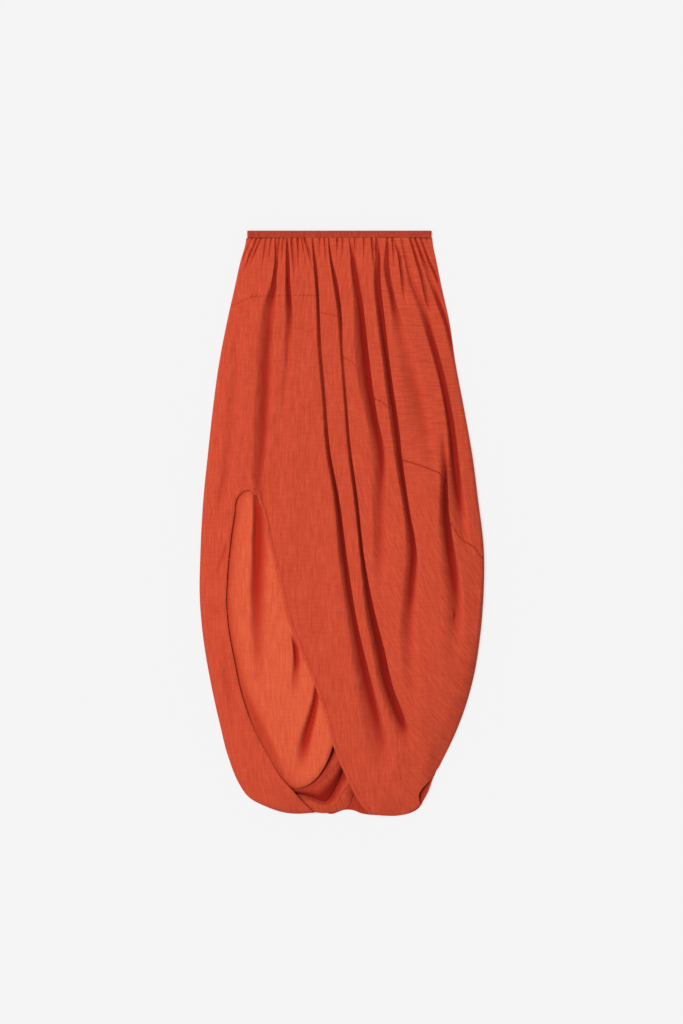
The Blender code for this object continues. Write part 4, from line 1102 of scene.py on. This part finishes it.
# Painted shade of the back where it shows in the open hem: how dark, where it starts and over what
# span
BACK_SHADE = 0.6
SHADE_FROM = 840.0
SHADE_SPAN = 30


def mirrored(row):
    """A gather of the front as the one behind it, a little aside so that the two differ."""
    start, depth, end, end_down, width = row
    return 3 - 0.97 * start, depth, 3 - 0.97 * end, 1.15 * end_down, 1.2 * width


BACK_SET = [fuller(fold, BACK_GAIN) for fold in BACK_FOLDS]
BACK_SET += [
    fuller(gather_fold(mirrored(row)), BACK_GATHER_GAIN) for row in zip(*GATHERS.values())
]


def back_points():
    """A patch between the waist line, the two sides and the lower edge of the outline."""
    u = np.linspace(0, 1, BACK_COLUMNS)[None, :, None]
    v = np.linspace(0, 1, BACK_ROWS)[:, None, None]
    top_down = BAND_DEPTH + 0.3
    down = top_down + v[:, 0, 0] * (SIDE_END - top_down)
    left = np.column_stack([read(SIDES, "left", down), down])[:, None, :]
    right = np.column_stack([read(SIDES, "right", down), down])[:, None, :]
    top = left[0] + u[0] * (right[0] - left[0])
    inside = HEMLINE["down"] >= SIDE_END - 1
    hem_rows = {name: values[inside] for name, values in HEMLINE.items()}
    bottom = by_length(hem_rows, u[0, :, 0])
    top, bottom = top[None], bottom[None]
    corners = (1 - u) * ((1 - v) * left[:1] + v * left[-1:])
    corners = corners + u * ((1 - v) * right[:1] + v * right[-1:])
    plan = (1 - v) * top + v * bottom + (1 - u) * left + u * right - corners
    across, down = plan[..., 0], plan[..., 1]
    rim = np.minimum(np.minimum(u[..., 0], 1 - u[..., 0]), 1 - v[..., 0]) * BACK_FLAT
    lift = sum(valley(fold, across, down) for fold in BACK_SET)
    lift = lift + BACK_UNREST * np.clip(waves(BROAD_UNREST, across + BACK_SHIFT, down), 0, None)
    lift = lift * smooth(rim)
    from_rim = read(SIDES, "right", down) - across
    beside = bell(down, CORNER[1] - BACK_RIM_ABOVE, BACK_RIM_SPAN)
    lift = lift + BACK_RIM * beside * (1 - smooth(from_rim / BACK_RIM_WIDTH))
    return np.dstack([across, WAIST_Y - down, lift])


under_points = back_points()
# Painted shade: only what shows in the open hem is darkened
back_painted_shade = BACK_SHADE * smooth((WAIST_Y - under_points[..., 1] - SHADE_FROM) / SHADE_SPAN)
back = sheet_of("back_panel_cloth", [under_points], [back_painted_shade])
back.modifiers["cloth thickness"].offset = 1

# %% [markdown]
# The waistband is a casing of the same crepe stitched over elastic in three channels, so it is
# drawn into fine upright crimps between rows of stitching. It is a flattened ring, open along the
# waist.

# %% The waistband
BAND_THICKNESS = 7.4
BAND_WALL = 2.3
BAND_CHANNELS = 3
CRIMP_PITCH = 2.3
CRIMP_HEIGHT = 0.45
LEAST_CRIMP = 0.35
CHANNEL_HEIGHT = 0.6
UNDER_SHARE = 0.12
BAND_STEP = 0.45
BAND_TURN = 13
BAND_ROWS = 37


def band_points():
    """Rows round the waistband, from its top edge down."""
    left, right = float(SIDES["left"][0]), float(SIDES["right"][0])
    radius = 0.5 * BAND_THICKNESS
    straight = np.arange(right - radius, left + radius, -BAND_STEP)
    turn = np.radians(np.linspace(0, 180, BAND_TURN))[1:-1]
    loop = [(x, radius) for x in straight]
    loop += [(left + radius - radius * np.sin(a), radius * np.cos(a)) for a in turn]
    loop += [(x, -radius) for x in straight[::-1]]
    loop += [(right - radius + radius * np.sin(a), -radius * np.cos(a)) for a in turn]
    loop = np.array(loop)
    walk = np.concatenate([[0], np.cumsum(np.hypot(*np.diff(loop, axis=0).T))])
    down = np.linspace(0, BAND_DEPTH, BAND_ROWS)
    channel = 0.5 - 0.5 * np.cos(2 * np.pi * BAND_CHANNELS * down / BAND_DEPTH)
    wander = 0.9 * waves(BROAD_UNREST, walk * 3, 0 * walk)[None, :]
    wander = wander + 0.5 * np.sin(down / 2.1)[:, None]
    crimp = 0.5 + 0.5 * np.cos(2 * np.pi * (walk[None, :] + wander) / CRIMP_PITCH)
    channel = channel[:, None]
    crimp = crimp * (LEAST_CRIMP + (1 - LEAST_CRIMP) * channel)
    inset = CHANNEL_HEIGHT * (1 - channel) + CRIMP_HEIGHT * crimp
    upper = loop[None, :, 1] > -0.5 * radius
    inset = np.where(upper, inset, UNDER_SHARE * inset)
    share = (radius - inset) / radius
    middle, half = 0.5 * (left + right), 0.5 * (right - left)
    across = middle + (loop[None, :, 0] - middle) * (1 - inset / half)
    height = radius + loop[None, :, 1] * share
    along = np.tile(WAIST_Y - down[:, None], (1, len(loop)))
    return np.dstack([across, along, np.maximum(height, 0)])


ring = band_points()
ring_index = numbered(ring.shape)
ring_index = np.hstack([ring_index, ring_index[:, :1]])
no_shade = np.zeros(ring.shape[:2])
band_wall = BAND_WALL - CHANNEL_HEIGHT
band = sheet_of("waistband_cloth", [ring], [no_shade], [ring_index], thickness=band_wall)

# %% [markdown]
# The cloth is viscose crepe: hard-twisted yarns shrink the weave into a matt, grainy surface with
# small crinkles along the grain. The colour is a brownish orange red. Crinkle and grain are bump,
# because both are finer than the mesh. They are also three close shades of the colour that follow
# the bump's height: partly the yarn's own tone, partly painted shade in the crinkle's low places.
# The material also paints shade in, darkening each point towards a deeper red by the amount of
# painted shade that its piece carries. The sheen is the dusty rim that such a cloth shows at
# grazing light.

# %% Colours and node helpers
def linear(hex_colour):
    """An sRGB hex colour as linear values with full alpha."""
    parts = [int(hex_colour[i:i + 2], 16) / 255 for i in (1, 3, 5)]
    parts = [c / 12.92 if c <= 0.04045 else ((c + 0.055) / 1.055) ** 2.4 for c in parts]
    return (*parts, 1.0)


def set_values(node, values):
    """Set a node's attributes and input sockets by their names or numbers."""
    for key, value in values.items():
        if isinstance(key, str) and hasattr(node, key):
            setattr(node, key, value)
        else:
            node.inputs[key].default_value = value


def add_node(tree, kind, values, links):
    """Add a shader node; each link is from a socket, or from the first socket of a node."""
    node = tree.nodes.new("ShaderNode" + kind)
    set_values(node, values)
    for key, source in links.items():
        tree.links.new(getattr(source, "outputs", [source])[0], node.inputs[key])
    return node


def new_material(name):
    """A new material and its main shader."""
    made = bpy.data.materials.new(name)
    made.use_nodes = True
    return made, made.node_tree.nodes["Principled BSDF"]


# %% Crinkled viscose crepe
# Widths of the crinkles and of the yarn grain, in metres; the grain is drawn about twice as
# coarse as the real yarn so that it still shows.
CRINKLE_WIDTH = 0.0030
CRINKLE_LENGTH = 0.030
GRAIN_WIDTH = 0.0016
PATTERNS = (
    (CRINKLE_WIDTH, CRINKLE_LENGTH),
    (CRINKLE_LENGTH, CRINKLE_WIDTH),
    (GRAIN_WIDTH, GRAIN_WIDTH),
)
NOISE = {"Scale": 1.0, "Detail": 2.5, "Roughness": 0.6, "Distortion": 0.3}
FINISH = {
    "Roughness": 0.9,
    "IOR": 1.45,
    "Specular IOR Level": 0.2,
    "Sheen Weight": 0.06,
    "Sheen Roughness": 0.5,
    "Sheen Tint": linear("#F0A080"),
}


def crepe(name, deep, main, light, painted_shade_colour):
    """Crinkled crepe in three shades of one colour, with painted shade where a piece carries it.
    """
    made, shader = new_material(name)
    tree = made.node_tree
    uv = add_node(tree, "UVMap", {"uv_map": "cloth"}, {})
    noises = []
    for across, along in PATTERNS:
        place = add_node(tree, "Mapping", {"Scale": (1 / across, 1 / along, 1)}, {"Vector": uv})
        noises.append(add_node(tree, "TexNoise", NOISE, {"Vector": place}))
    warp, weft, grain = noises
    cross = add_node(tree, "Attribute", {"attribute_name": "cross_grain"}, {}).outputs["Fac"]
    balance = add_node(tree, "MapRange", {"To Min": 0.28, "To Max": 0.72}, {"Value": cross})
    crinkle = add_node(tree, "Mix", {"data_type": "FLOAT"}, {0: balance, 2: warp, 3: weft})
    both = add_node(tree, "Math", {"operation": "MULTIPLY_ADD", 1: 0.4}, {0: grain, 2: crinkle})
    # The ramp follows the same height as the bump, so its darkest shade lies in the crinkle's low
    # places: partly the yarn's own tone, partly painted shade
    shade = add_node(tree, "ValToRGB", {}, {"Fac": both})
    ramp = shade.color_ramp
    ramp.elements[0].position = 0.5
    ramp.elements[0].color = linear(deep)
    ramp.elements[1].position = 0.9
    ramp.elements[1].color = linear(light)
    ramp.elements.new(0.7).color = linear(main)
    # Painted shade: each point's amount mixes the colour towards the painted shade colour, a
    # darker red
    depth = add_node(tree, "Attribute", {"attribute_name": "painted_shade_amount"}, {}).outputs["Fac"]
    shadow = {"data_type": "RGBA", 7: linear(painted_shade_colour)}
    colour = add_node(tree, "Mix", shadow, {0: depth, 6: shade})
    bump = add_node(tree, "Bump", {"Strength": 0.35, "Distance": 0.001}, {"Height": both})
    tree.links.new(colour.outputs[2], shader.inputs["Base Color"])
    tree.links.new(bump.outputs["Normal"], shader.inputs["Normal"])
    set_values(shader, FINISH)
    made.diffuse_color = linear(main)
    return made


# The last colour of each crepe is the darker red of its painted shade
outer_crepe = crepe("viscose crepe, crinkled", "#B53A25", "#C2452B", "#CD5034", "#92180A")
# The inner drape's crepe is the same cloth in lighter colours: painted light
inner_crepe = crepe("viscose crepe, inner drape", "#C94A2E", "#D45636", "#DE6240", "#A8200C")
band_crepe = crepe("viscose crepe over elastic", "#9A3020", "#AB3A27", "#BA4630", "#92180A")
print("materials:", outer_crepe.name, inner_crepe.name, band_crepe.name)

# %% Every piece gets its cloth and its body, and the solid it replaces is hidden
def dress(piece, cloth, node):
    """Assign the cloth, hang the piece from the root body and hide the solid that it replaces."""
    piece.data.materials.clear()
    piece.data.materials.append(cloth)
    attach(piece, "root")
    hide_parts(node)


PIECES = (
    (yoke, outer_crepe, "crepe", "front_yoke"),
    (lower_front, outer_crepe, "crepe", "front_drape"),
    (inner_drape, inner_crepe, "inner_crepe", "inner_drape"),
    (hem_band, outer_crepe, "crepe", "hem_band"),
    (hem_twist, outer_crepe, "crepe", "hem_twist"),
    (back, outer_crepe, "crepe", "back_panel"),
    (band, band_crepe, "elastic_crepe", "waistband"),
)
for piece, cloth, slot, node in PIECES:
    apply_all(piece)
    dress(piece, cloth, node)

# The painted shade of the open hem belongs to the back's inner face alone. With its offset at 1,
# Solidify keeps the inner points first and adds the outer ones after them.
back_shade_values = np.zeros(len(back.data.vertices))
back.data.attributes["painted_shade_amount"].data.foreach_get("value", back_shade_values)
back_shade_values[back_painted_shade.size:] = 0
back.data.attributes["painted_shade_amount"].data.foreach_set("value", back_shade_values)
print("dressed pieces:", len(PIECES))

# %% [markdown]

# %% [markdown]
# The studio is a pale floor, a large soft light from the upper left and a bright, even room. The
# camera looks straight down, as the photograph does.

# %% Studio and camera
MM_PER_PIXEL = 1.63
FRAME_PIXELS = 1024
LENS = 90.0
SENSOR = 36.0
LOOK_AT = (-0.0011, 0.0183)
FLOOR_DROP = 0.0004
FLOOR_SHARE = 0.3
FLOOR_GLOW = 0.575
KEY_STRENGTH = 2.8
KEY_SPREAD = 0.5
KEY_FROM = (-0.385, 0.275, 0.88)
ROOM_STRENGTH = 0.34

bpy.ops.mesh.primitive_plane_add(size=8, location=(0, 0, 0))
floor = bpy.context.object
floor.name = "floor"
floor.data.transform(mathutils.Matrix.Translation((0, 0, -FLOOR_DROP)))
paper, table_top = new_material("lit white table")
set_values(table_top, {
    "Base Color": (FLOOR_SHARE, FLOOR_SHARE, FLOOR_SHARE, 1),
    "Roughness": 0.95,
    "Specular IOR Level": 0.0,
    "Emission Color": (1, 1, 1, 1),
    "Emission Strength": FLOOR_GLOW,
})
floor.data.materials.append(paper)

key = bpy.data.lights.new("key light", "SUN")
key.energy = KEY_STRENGTH
key.angle = KEY_SPREAD
key_holder = add_object("key light", key)
key_holder.rotation_euler = mathutils.Vector(KEY_FROM).to_track_quat("Z", "Y").to_euler()

room = bpy.data.worlds.new("bright room")
room.use_nodes = True
set_values(room.node_tree.nodes["Background"], {"Color": (1, 1, 1, 1), "Strength": ROOM_STRENGTH})
bpy.context.scene.world = room

camera_data = bpy.data.cameras.new("camera")
camera_data.lens = LENS
camera_data.sensor_width = SENSOR
camera = add_object("camera", camera_data)
distance = FRAME_PIXELS * MM_PER_PIXEL * TO_METRES * LENS / SENSOR
camera.location = (*LOOK_AT, distance)
bpy.context.scene.camera = camera
bpy.context.scene.view_settings.view_transform = "Standard"
print("camera height, m:", round(distance, 3))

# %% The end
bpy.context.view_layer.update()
